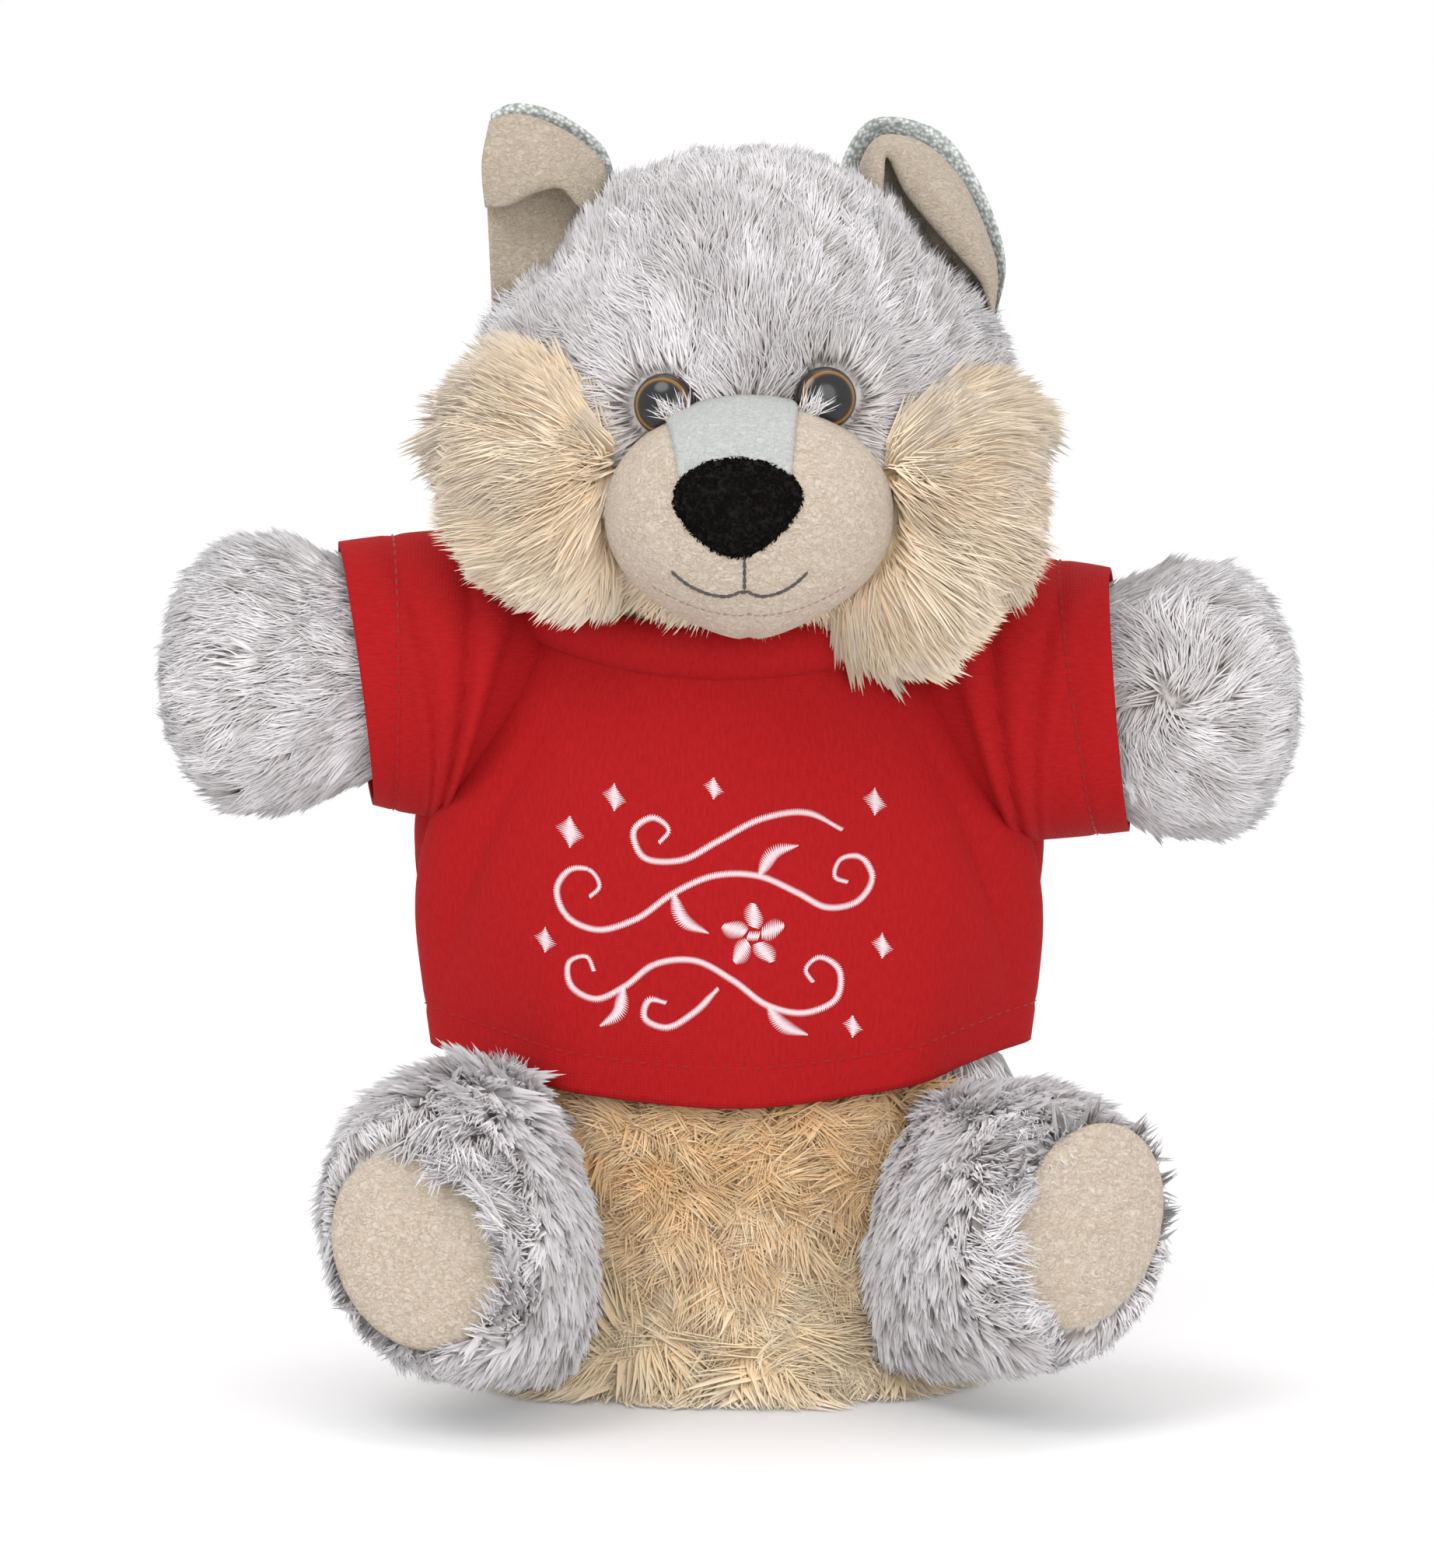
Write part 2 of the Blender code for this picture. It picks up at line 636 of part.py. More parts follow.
def make_arms(plush, cutters):
    """Returns what cuts the armholes in the shirt and the finger holes in the glove."""
    forms, bores = [], []
    for side in SIDES:
        turn = (0, ARM_LIFT[side], ARM_TURN[side])
        arm = make_object("arm_" + side, arm_mesh(), plush, None, ARM_FROM[side], turn)
        cut(arm, *cutters)
        rings = arm_rings(ARM_LOCK + ARM_CLEARANCE, 18, None)
        form = ring_solid(rings, None, Vector((ARM_LENGTH + ARM_CLEARANCE, 0, 0)))
        forms.append(make_cutter("cut_arm_" + side, form, None, ARM_FROM[side], turn))
        ends = [
            [Vector((x, ARM_POCKET_RADIUS * math.cos(a), ARM_POCKET_RADIUS * math.sin(a)))
             for a in spread(0, math.tau * 17 / 18, 18)]
            for x in (-ARM_BORE_IN, ARM_BORE_OUT)
        ]
        bores.append(make_cutter("cut_bore_" + side, ring_solid(ends), None, ARM_FROM[side], turn))
    return forms, bores


# Legs

def leg_mesh(name, segments=22):
    relief = locks(LEG_LOCK, (3.0, 7.0, 0.9), (2.0, 11.0, 0.2))
    rings = []
    for along, half_width, half_height, rise in LEG_PROFILE:
        ring = []
        lean = SOLE_LEAN * max(along * MM / LEG_LENGTH, 0.0)
        for i in range(segments):
            turn = math.tau * i / segments
            raised = relief(along / 14.0, turn)
            up = (half_height * LEG_HEIGHT[name] * MM + raised) * math.sin(turn)
            side = (half_width * MM + raised) * math.cos(turn)
            ring.append(Vector((side, -along * MM + lean * up, rise * MM + up)))
        rings.append(ring)
    end = []
    for i in range(segments):
        turn = math.tau * i / segments
        up = SOLE_HALF[name].y * math.sin(turn)
        side = SOLE_HALF[name].x * math.cos(turn)
        end.append(Vector((side, -LEG_LENGTH + SOLE_LEAN * up, SOLE_SET[name] + up)))
    return ring_solid(rings + [end])


def sole_mesh(name, segments=22):
    """A domed oval of velour laid on the flat end of the leg."""
    rings = []
    for share, out in ((1.0, 0.0), (1.0, 0.3), (0.86, 0.72), (0.5, 0.95)):
        ring = []
        for i in range(segments):
            turn = math.tau * i / segments
            up = SOLE_HALF[name].y * share * math.sin(turn)
            side = SOLE_HALF[name].x * share * math.cos(turn)
            ahead = LEG_LENGTH + SEAT_GAP + SOLE_DOME * out
            ring.append(Vector((side, -ahead + SOLE_LEAN * up, SOLE_SET[name] + up)))
        rings.append(ring)
    tip = Vector((0, -LEG_LENGTH - SEAT_GAP - SOLE_DOME, SOLE_SET[name]))
    return ring_solid(rings, None, tip)


def make_legs(plush, velour, cutters):
    for side in SIDES:
        turn = (LEG_RISE, LEG_ROLL[side], LEG_SPLAY[side])
        leg = make_object("leg_" + side, leg_mesh(side), plush, None, LEG_FROM[side], turn)
        cut(leg, *cutters)
        make_object("sole_" + side, sole_mesh(side), velour, None, LEG_FROM[side], turn)


# T-shirt

def neck_height(turn):
    """The neckline dips at the front and lies higher over the shoulders and the back."""
    front = max(math.cos(turn), 0.0) ** 2
    return NECK_SIDE - (NECK_SIDE - NECK_FRONT) * front


def hem_height(turn):
    return HEM_FRONT + (HEM_SIDE - HEM_FRONT) * math.sin(turn) ** 2


def make_shirt(jersey, arm_forms, head_cut):
    front_turns, back_turns = panel_turns(*SHIRT_COLUMNS)
    edges = {
        "shares": SHIRT_ROWS,
        "low": hem_height,
        "high": lambda turn: neck_height(turn) - SEAT_GAP,
    }
    front = make_object(
        "shirt_front",
        panel(shirt_point, front_turns, edges, SHIRT_WALL, 0.0),
        jersey,
    )
    back = make_object(
        "shirt_back",
        panel(shirt_point, back_turns, edges, SHIRT_WALL, 0.0),
        jersey,
    )
    cut(front, *arm_forms)
    cut(back, *arm_forms)

    outside, inside = [], []
    turns = [math.tau * i / 32 for i in range(32)]
    for share in (0.0, 0.5, 1.0):
        lean = COLLAR_LEAN * (4.0 * share * (1.0 - share) + share)
        outer_row, inner_row = [], []
        for turn in turns:
            base = neck_height(turn)
            for row, out in ((outer_row, COLLAR_WALL), (inner_row, 0.0)):
                place = shirt_point(turn, base, out + lean)
                place.z = base + SEAT_GAP + COLLAR_HEIGHT * share
                row.append(place)
        outside.append(outer_row)
        inside.append(inner_row)
    collar = make_object("shirt_neckband", sheet_solid(outside, inside, closed=True), jersey)
    cut(collar, head_cut)


def sleeve_rings(side, out, past=0.0, segments=22):
    """Rings of a short tube round the arm, with folds that run along the raglan seam and the sleeve."""
    rings = []
    for share in spread(0.0, 1.0, 9):
        half = SLEEVE_HALF["start"].lerp(SLEEVE_HALF["end"], share)
        ring = []
        for i in range(segments):
            turn = math.tau * i / segments
            seam_fold = math.sin(3.0 * math.pi * share) ** 2 * (1.0 - share) * abs(math.cos(turn))
            long_fold = share * (1.0 - share) * (1.0 + math.sin(5.0 * turn + 1.0))
            raised = SLEEVE_FOLD * (seam_fold + long_fold) + out
            depth, height = half.x + raised, half.y + raised
            up = math.sin(turn) * half.y
            along = (SLEEVE_FROM - past) * (1.0 - share) + (SLEEVE_TO[side] + past) * share
            along += SLEEVE_SLANT[side] * up * share - RAGLAN_LEAN * up * (1.0 - share)
            ring.append(Vector((along, depth * math.cos(turn), height * math.sin(turn))))
        rings.append(ring)
    return rings


def make_sleeves(jersey, cutters, arm_forms):
    """Returns what cuts the cheeks where they rest on the sleeves."""
    forms = []
    for side, arm_form in zip(SIDES, arm_forms):
        turn = (0, ARM_LIFT[side], ARM_TURN[side])
        cloth = sheet_solid(sleeve_rings(side, SHIRT_WALL), sleeve_rings(side, 0.0), closed=True)
        sleeve = make_object("sleeve_" + side, cloth, jersey, None, ARM_FROM[side], turn)
        cut(sleeve, *cutters, arm_form)
        form = ring_solid(sleeve_rings(side, SHIRT_WALL + SEAT_GAP, 2 * SEAT_GAP))
        forms.append(make_cutter("cut_sleeve_" + side, form, None, ARM_FROM[side], turn))
    return forms


# Cutters that several pieces share

def make_floor():
    mesh = bmesh.new()
    bmesh.ops.create_cube(mesh, size=0.6)
    return make_cutter("cut_floor", mesh, location=(0, 0, -0.3))


def grown_body():
    """The outside of the glove as a solid, on the same columns and rows as its panels."""
    turns = [turn for side in panel_turns(*BODY_COLUMNS) for turn in side]
    return ring_solid([
        [body_point(turn, row[0] * MM, -SEAT_GAP) for turn in turns] for row in BODY_PROFILE
    ])


def grown_shirt():
    """The outside of the shirt as a solid, from just under its hem to its neckline."""
    def point(turn, share):
        low, high = hem_height(turn) - SEAT_GAP, neck_height(turn)
        return shirt_point(turn, low + (high - low) * share, SHIRT_WALL + SEAT_GAP)
    turns = [turn for side in panel_turns(*SHIRT_COLUMNS) for turn in side]
    rings = [[point(turn, share) for turn in turns] for share in SHIRT_ROWS]
    return ring_solid(rings, Vector((0, BODY_Y, HEM_FRONT)), Vector((0, BODY_Y, NECK_SIDE)))


def grown_collar():
    rings = []
    for share in (-0.4, 0.0, 0.5, 1.0, 1.1):
        lean = COLLAR_LEAN * (4.0 * share * (1.0 - share) + share) if 0.0 <= share <= 1.0 else COLLAR_LEAN
        ring = []
        for i in range(32):
            turn = math.tau * i / 32
            base = neck_height(turn)
            place = shirt_point(turn, base, COLLAR_WALL + lean + 2 * SEAT_GAP)
            place.z = base + COLLAR_HEIGHT * share
            ring.append(place)
        rings.append(ring)
    return ring_solid(rings)


def main():
    for old in list(bpy.data.objects):
        bpy.data.objects.remove(old)

    grey_plush = make_material("frosted_grey_plush", (0.56, 0.54, 0.54), 0.9)
    cream_plush = make_material("long_cream_plush", (0.72, 0.56, 0.38), 0.9)
    velour = make_material("beige_velour", (0.68, 0.58, 0.46), 0.85)
    patch = make_material("pale_grey_velour", (0.66, 0.68, 0.66), 0.85)
    tweed = make_material("grey_tweed_velour", (0.42, 0.45, 0.43), 0.85)
    fleece = make_material("black_fleece", (0.012, 0.01, 0.01), 0.9)
    plastic = make_material("amber_rimmed_black_plastic", (0.03, 0.02, 0.02), 0.12)
    nylon = make_material("white_nylon", (0.8, 0.8, 0.78), 0.5)
    lining = make_material("white_lining", (0.75, 0.73, 0.7), 0.8)
    jersey = make_material("red_cotton_jersey", (0.46, 0.01, 0.012), 0.85)

    head = bpy.data.objects.new("head_centre", None)
    bpy.context.scene.collection.objects.link(head)
    head.location = HEAD_AT

    head_cut = make_cutter("cut_head", head_form(SEAT_GAP), head)
    body_cut = make_cutter("cut_body", grown_body())
    shirt_cut = make_cutter("cut_shirt", grown_shirt())
    collar_cut = make_cutter("cut_collar", grown_collar())
    floor_cut = make_floor()

    crown = make_head(head, grey_plush, lining)
    eye_cuts = make_eyes(plastic, nylon, crown)
    muzzle_cut = make_muzzle(velour, patch, fleece, head_cut, eye_cuts)
    make_ears(velour, tweed, head_cut)
    arm_forms, arm_bores = make_arms(grey_plush, [body_cut, head_cut, collar_cut])
    make_body(grey_plush, cream_plush, head_cut, arm_bores)
    make_legs(grey_plush, velour, [body_cut, shirt_cut, floor_cut])
    make_shirt(jersey, arm_forms, head_cut)
    sleeve_forms = make_sleeves(jersey, [shirt_cut, collar_cut, head_cut], arm_forms)
    make_cheeks(cream_plush, [head_cut, muzzle_cut, shirt_cut, collar_cut], sleeve_forms)


main()
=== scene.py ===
"""The looks of a plush hand puppet: a sitting wolf in a T-shirt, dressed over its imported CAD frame.

Metres, +Z up, and -Y is the front. Each section makes one piece of the real puppet, or a group of like
pieces.
"""

import math

import bpy
import numpy as np
from mathutils import Euler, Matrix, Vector


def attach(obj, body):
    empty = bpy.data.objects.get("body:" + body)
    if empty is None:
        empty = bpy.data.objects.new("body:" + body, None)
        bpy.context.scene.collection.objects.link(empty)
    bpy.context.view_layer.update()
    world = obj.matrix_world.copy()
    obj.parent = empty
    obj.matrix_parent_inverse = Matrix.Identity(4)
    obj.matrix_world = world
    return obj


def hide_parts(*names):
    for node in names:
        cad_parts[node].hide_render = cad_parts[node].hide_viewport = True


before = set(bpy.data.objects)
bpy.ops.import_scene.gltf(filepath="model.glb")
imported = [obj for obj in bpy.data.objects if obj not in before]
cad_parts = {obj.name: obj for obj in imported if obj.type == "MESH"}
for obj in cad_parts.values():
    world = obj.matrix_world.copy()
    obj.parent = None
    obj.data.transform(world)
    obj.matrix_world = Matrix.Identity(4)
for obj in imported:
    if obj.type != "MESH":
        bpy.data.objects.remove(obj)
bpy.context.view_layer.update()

# Camera: the puppet was photographed from 1.2 m in front and 4 degrees above, through a long lens,
# and it fills an upright picture.
MM = 0.001
AIM = np.array([-3.3, 0.0, 124.0]) * MM
CAMERA_AWAY = 1194.0 * MM
CAMERA_RAISED = math.radians(4.0)

camera_lens = bpy.data.cameras.new("camera")
camera_lens.lens = 135.0
camera = bpy.data.objects.new("camera", camera_lens)
camera.location = AIM + CAMERA_AWAY * np.array([0.0, -math.cos(CAMERA_RAISED), math.sin(CAMERA_RAISED)])
camera.rotation_euler = (math.radians(90.0) - CAMERA_RAISED, 0.0, 0.0)
bpy.context.scene.collection.objects.link(camera)
bpy.context.scene.camera = camera

# Backing cloth of the glove: two panels of knitted backing, cream in front and grey behind, sewn into a
# tube that is open at the floor. Their pile grows on the outside, and the finger holes of the arms pass
# through.
BODY_Y = 24.0 * MM
BODY_PROFILE = np.array([
    (0.0, 52.0, 40.0), (12.0, 54.0, 39.0), (32.0, 56.0, 38.0), (60.0, 57.5, 36.5), (90.0, 58.0, 35.0),
    (118.0, 55.5, 32.5), (138.0, 51.0, 30.0), (150.0, 44.0, 28.0), (158.0, 34.0, 26.0), (168.0, 27.0, 24.0),
]) * MM
BODY_SEAM = math.radians(52.0)
SEAM_GAP = math.radians(0.5)
PILE_ON_BODY = 3.8 * MM
BODY_WALL = 5.0 * MM
BODY_FOOT, BODY_TOP = 0.4 * MM, 166.0 * MM
HEAD_AT = np.array([2.5, 14.0, 202.5]) * MM
HEAD_HALF = np.array([55.5, 52.0, 51.5]) * MM
BACKING_CREAM, BACKING_GREY = "#E6CDA2", "#D2CCC9"
BACKING_RIB = 1.1 * MM


def linear(hex_colour):
    """An sRGB hex colour as linear light, with a full alpha."""
    share = np.array([int(hex_colour[i:i + 2], 16) for i in (1, 3, 5)]) / 255.0
    return (*np.where(share <= 0.04045, share / 12.92, ((share + 0.055) / 1.055) ** 2.4), 1.0)


def start_material(name, **values):
    """A new material, its node tree and its shader, with values set on the shader's own sockets."""
    material = bpy.data.materials.new(name)
    material.use_nodes = True
    shader = material.node_tree.nodes["Principled BSDF"]
    for socket, value in values.items():
        shader.inputs[socket.replace("_", " ")].default_value = value
    return material, material.node_tree, shader


def add(tree, kind, inputs=None, stops=None, **settings):
    """Adds a node with its settings. Each input is a value, or the output that feeds it, and a stop of a
    ramp is its place and its colour."""
    node = tree.nodes.new("ShaderNode" + kind)
    for name, value in settings.items():
        setattr(node, name, value)
    for name, value in (inputs or {}).items():
        if isinstance(value, bpy.types.NodeSocket):
            tree.links.new(value, node.inputs[name])
        else:
            node.inputs[name].default_value = value
    if stops:
        while len(node.color_ramp.elements) < len(stops):
            node.color_ramp.elements.new(0.5)
        for element, (place, colour) in zip(node.color_ramp.elements, stops):
            element.position = place
            element.color = linear(colour) if isinstance(colour, str) else colour
    return node


def wire(tree, shader, tint, relief):
    """Feeds a ramp's colour and a bump's relief to the shader."""
    tree.links.new(tint.outputs["Color"], shader.inputs["Base Color"])
    tree.links.new(relief.outputs["Normal"], shader.inputs["Normal"])


def backing_cloth(name, hex_colour):
    """Knitted polyester backing: matt, with soft ribs a millimetre apart and a slightly uneven dye."""
    material, tree, shader = start_material(name, Roughness=0.9, Sheen_Weight=0.2)
    place = add(tree, "TexCoord").outputs["Object"]
    dye = add(tree, "TexNoise", {"Vector": place, "Scale": 1 / (9 * MM), "Detail": 3.0})
    pale, dark = linear(hex_colour), tuple(0.72 * c for c in linear(hex_colour)[:3]) + (1.0,)
    tint = add(tree, "ValToRGB", {"Fac": dye.outputs["Fac"]}, stops=[(0.35, dark), (0.65, pale)])
    rib = add(tree, "TexWave", {"Vector": place, "Scale": 0.31 / BACKING_RIB, "Distortion": 1.5})
    relief = add(tree, "Bump", {"Height": rib.outputs["Fac"], "Strength": 0.4, "Distance": 0.3 * MM})
    wire(tree, shader, tint, relief)
    return material


def unit(ways):
    return ways / np.maximum(np.linalg.norm(ways, axis=-1, keepdims=True), 1e-12)


def dot(a, b):
    return (a * b).sum(-1, keepdims=True)


def along_profile(profile, place):
    """Sizes at a place on a profile, as a curve through its rows. Each row's slope is that of its
    neighbours."""
    knots, sizes = profile[:, 0], profile[:, 1:]
    slopes = np.gradient(sizes, knots, axis=0)
    place = np.clip(place, knots[0], knots[-1])
    low = np.clip(np.searchsorted(knots, place) - 1, 0, len(knots) - 2)
    step = (knots[low + 1] - knots[low])[..., None]
    t = (place - knots[low])[..., None] / step
    found = (
        (2 * t ** 3 - 3 * t ** 2 + 1) * sizes[low] + (t ** 3 - 2 * t ** 2 + t) * step * slopes[low]
        + (3 * t ** 2 - 2 * t ** 3) * sizes[low + 1] + (t ** 3 - t ** 2) * step * slopes[low + 1]
    )
    return np.moveaxis(found, -1, 0)


def body_point(turn, height, inset=0.0):
    """The glove's outline: an ellipse round the upright at each height, moved in by inset."""
    half_width, half_depth = along_profile(BODY_PROFILE, height)
    x = (half_width - inset) * np.sin(turn)
    y = BODY_Y - (half_depth - inset) * np.cos(turn)
    return np.stack([x, y, np.broadcast_to(height, x.shape)], -1)


def ball_way(turn, rise):
    """The way out from the middle of a ball, by its turn about the upright and its rise."""
    across = np.cos(rise)
    return np.stack(np.broadcast_arrays(across * np.cos(turn), across * np.sin(turn), np.sin(rise)), -1)


def nearness(away, reach):
    """1 at a place, falling to nothing past its reach, as a bell curve."""
    return np.exp(-(np.linalg.norm(away, axis=-1, keepdims=True) / reach) ** 2)


def in_ball(points, centre, half):
    """How far out a point lies in a ball with three half sizes: 1 is on its surface."""
    return np.linalg.norm((points - centre) / half, axis=-1)


def make_piece(name, points, faces, corner_map, finish, map_name="cut"):
    """A mesh from arrays: points, faces of three or four corners, and a place on the map for each
    corner."""
    data = bpy.data.meshes.new(name)
    corners = np.concatenate([group.ravel() for group in faces]).astype(np.int32)
    sizes = np.concatenate([np.full(len(group), group.shape[1]) for group in faces])
    starts = np.concatenate([[0], np.cumsum(sizes)[:-1]]).astype(np.int32)
    data.vertices.add(len(points))
    data.vertices.foreach_set("co", points.astype(np.float32).ravel())
    data.loops.add(len(corners))
    data.loops.foreach_set("vertex_index", corners)
    data.polygons.add(len(sizes))
    data.polygons.foreach_set("loop_start", starts)
    data.update(calc_edges=True)
    layer = data.uv_layers.new(name=map_name)
    spots = np.concatenate([part.reshape(-1, 2) for part in corner_map]).astype(np.float32)
    layer.data.foreach_set("uv", spots.ravel())
    data.shade_smooth()
    data.materials.append(finish)
    piece = bpy.data.objects.new(name, data)
    bpy.context.scene.collection.objects.link(piece)
    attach(piece, "root")
    return piece


def quads(index, closed):
    """The patches of a grid of point numbers, which face out where columns go right and rows go up."""
    left = index if closed else index[:, :-1]
    right = np.roll(index, -1, 1) if closed else index[:, 1:]
    return np.stack([left[:-1], right[:-1], right[1:], left[1:]], -1).reshape(-1, 4)


def quad_map(rows, steps, size):
    """Where each patch of a grid lies on the flat cloth, as a share of its real width and height."""
    u, v = np.linspace(0, size[0], steps + 1), np.linspace(0, size[1], rows)
    low_u, low_v = np.meshgrid(u[:-1], v[:-1])
    high_u, high_v = np.meshgrid(u[1:], v[1:])
    pairs = [(low_u, low_v), (high_u, low_v), (high_u, high_v), (low_u, high_v)]
    return np.stack([np.stack(pair, -1) for pair in pairs], 2).reshape(-1, 4, 2)


def map_corners(*pairs):
    """Where the corners of a row of faces lie on the flat cloth, from a pair of arrays for each corner."""
    return np.stack([np.stack(pair, -1) for pair in pairs], 1)


def stuffed(name, rings, size, finish):
    """A closed skin over rings of points from its foot to its top, with a pole at each end."""
    rows, columns = rings.shape[:2]
    index = np.arange(rows * columns).reshape(rows, columns)
    points = np.concatenate([rings.reshape(-1, 3), rings[:1].mean(1), rings[-1:].mean(1)])
    foot, top = rows * columns, rows * columns + 1
    nexts = np.roll(index, -1, 1)
    low = np.stack([nexts[0], index[0], np.full(columns, foot)], -1)
    high = np.stack([index[-1], nexts[-1], np.full(columns, top)], -1)
    u = np.linspace(0, size[0], columns + 1)
    left, right, zero, edge = u[:-1], u[1:], np.zeros(columns), size[1] / rows
    middle, end = (left + right) / 2, zero + size[1]
    low_map = map_corners((right, zero), (left, zero), (middle, zero - edge))
    high_map = map_corners((left, end), (right, end), (middle, end + edge))
    faces = [quads(index, True), low, high]
    return make_piece(name, points, faces, [quad_map(rows, columns, size), low_map, high_map], finish)


def cloth(name, outside, inside, closed, size, finish):
    """A closed wall of cloth between two grids of points, with a strip over each edge."""
    rows, columns = outside.shape[:2]
    front = np.arange(rows * columns).reshape(rows, columns)
    back = front + rows * columns
    steps = columns if closed else columns - 1
    patches, patch_map = quads(front, closed), quad_map(rows, steps, size)
    right = np.roll(front, -1, 1)[:, :steps]
    left, gap = front[:, :steps], rows * columns
    low = np.stack([right[0], left[0], left[0] + gap, right[0] + gap], -1)
    high = np.stack([left[-1], right[-1], right[-1] + gap, left[-1] + gap], -1)
    faces = [patches, quads(back, closed)[:, ::-1], low, high]
    u, over, zero = np.linspace(0, size[0], steps + 1), 0.5 * MM, np.zeros(steps)
    low_map = map_corners((u[1:], zero), (u[:-1], zero), (u[:-1], zero - over), (u[1:], zero - over))
    maps = [patch_map, patch_map[:, ::-1], low_map, low_map[:, [1, 0, 3, 2]] * [1, -1] + [0, size[1]]]
    if not closed:
        v, none = np.linspace(0, size[1], rows), np.zeros(rows - 1)
        first = np.stack([front[:-1, 0], front[1:, 0], back[1:, 0], back[:-1, 0]], -1)
        last = np.stack([front[1:, -1], front[:-1, -1], back[:-1, -1], back[1:, -1]], -1)
        side_map = map_corners((none, v[:-1]), (none, v[1:]), (none - over, v[1:]), (none - over, v[:-1]))
        faces += [first, last]
        maps += [side_map, side_map[:, [1, 0, 3, 2]] * [-1, 1] + [size[0], 0]]
    points = np.concatenate([outside.reshape(-1, 3), inside.reshape(-1, 3)])
    return make_piece(name, points, faces, maps, finish)


def cut_round(piece, ends, radius):
    """Cuts a round hole along the line between two points, with a hidden rod."""
    start, end = (Vector(point) for point in ends)
    angles = np.linspace(0, math.tau, 33)[:-1]
    rod = np.stack([np.stack([radius * np.cos(angles), radius * np.sin(angles), 0 * angles + z], -1)
                    for z in (0.0, (end - start).length)])
    helper = stuffed("rod", rod, (1.0, 1.0), piece.data.materials[0])
    helper.parent = None
    helper.matrix_world = (end - start).to_track_quat("Z", "Y").to_matrix().to_4x4()
    helper.location = start
    modifier = piece.modifiers.new("hole", "BOOLEAN")
    modifier.object, modifier.operation, modifier.solver = helper, "DIFFERENCE", "EXACT"
    bpy.context.view_layer.update()
    holed = bpy.data.meshes.new_from_object(piece.evaluated_get(bpy.context.evaluated_depsgraph_get()))
    piece.modifiers.clear()
    piece.data = holed
    bpy.data.objects.remove(helper)


def laid_flat(grid, closed=False):
    """The width and height that a cloth was cut to: the mean lengths of its rows and columns of points."""
    rows = np.concatenate([grid, grid[:, :1]], 1) if closed else grid
    width = np.linalg.norm(np.diff(rows, axis=1), axis=-1).sum(1).mean()
    height = np.linalg.norm(np.diff(grid, axis=0), axis=-1).sum(0).mean()
    return float(width), float(height)


def glove_panel(name, first, last, columns, hex_colour, slot, *nodes):
    """One panel of backing between two turns. Its top edge stops under the head."""
    turns = np.linspace(first, last, columns)
    heights = np.linspace(BODY_FOOT, BODY_TOP, 80)
    rise = body_point(turns[None, :], heights[:, None])
    under = in_ball(rise, HEAD_AT, HEAD_HALF + 0.6 * MM) < 1.0
    tops = np.where(under.any(0), heights[np.maximum(under.argmax(0) - 1, 0)], BODY_TOP)
    rows = BODY_FOOT + (tops - BODY_FOOT) * np.linspace(0, 1, 32)[:, None]
    outside, inside = (body_point(turns[None, :], rows, inset) for inset in (PILE_ON_BODY, BODY_WALL))
    flat = laid_flat(outside)
    panel = cloth(name, outside, inside, False, flat, backing_cloth(name + "_cloth", hex_colour))
    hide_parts(*nodes)
    return panel, flat


belly_backing, belly_flat = glove_panel(
    "belly_backing", -BODY_SEAM + SEAM_GAP, BODY_SEAM - SEAM_GAP, 26, BACKING_CREAM,
    "long_cream_plush", "belly_panel",
)
back_backing, back_flat = glove_panel(
    "back_backing", BODY_SEAM + SEAM_GAP, math.tau - BODY_SEAM - SEAM_GAP, 64, BACKING_GREY,
    "frosted_grey_plush", "back_panel",
)

# Pile of the glove: frosted grey plush behind and at the sides, and cream plush in front that is longer and
# curls. Both are polyester fibre about 8 to 15 mm long, and the lowest of it spreads on the floor as a
# fringe.
FIBRE_STEPS = (0.7548776662, 0.5698402910)
FROSTED_DARK = ((0.0, "#807771"), (0.35, "#97908B"), (0.7, "#C3BEBD"), (1.0, "#D7D4D6"))
FROSTED_PALE = ((0.0, "#D3CCC9"), (0.35, "#E8E3E2"), (0.7, "#F6F2F4"), (1.0, "#FBF8FA"))
GOLDEN_DARK = ((0.0, "#CF995F"), (0.5, "#EAB67C"), (1.0, "#F8D4A2"))
GOLDEN_PALE = ((0.0, "#FDD9A6"), (0.5, "#FFE5BC"), (1.0, "#FFF0D6"))
LAID_ON_FLOOR = 0.5 * MM
BLADE_BEND = 0.6
SOFT_LIFT, LOW_LIFT = np.array([0.0, -0.25, 0.3]), np.array([0.0, -0.3, 0.65])


def pile_material(name, dark, pale, sheen=0.3):
    """Polyester pile: soft and matt, with a faint sheen. Strands are darker at the root and frosted at the
    tip."""
    material, tree, shader = start_material(name, Roughness=0.7, Sheen_Weight=sheen, Specular_IOR_Level=sheen)
    place = add(tree, "UVMap", uv_map="OFBake")
    parts = add(tree, "SeparateXYZ", {"Vector": place.outputs["UV"]})
    blend = add(tree, "Mix", {"Factor": parts.outputs["X"]}, data_type="RGBA")
    for stops, socket in zip((dark, pale), [socket for socket in blend.inputs if socket.type == "RGBA"]):
        ramp = add(tree, "ValToRGB", {"Fac": parts.outputs["Y"]}, stops=stops)
        tree.links.new(ramp.outputs["Color"], socket)
    result = [socket for socket in blend.outputs if socket.type == "RGBA"][0]
    tree.links.new(result, shader.inputs["Base Color"])
    return material


def thread(name, dark, pale):
    """Plain sewing or embroidery thread, between two tones of one colour."""
    return pile_material(name, ((0.0, dark), (1.0, dark)), ((0.0, pale), (1.0, pale)))


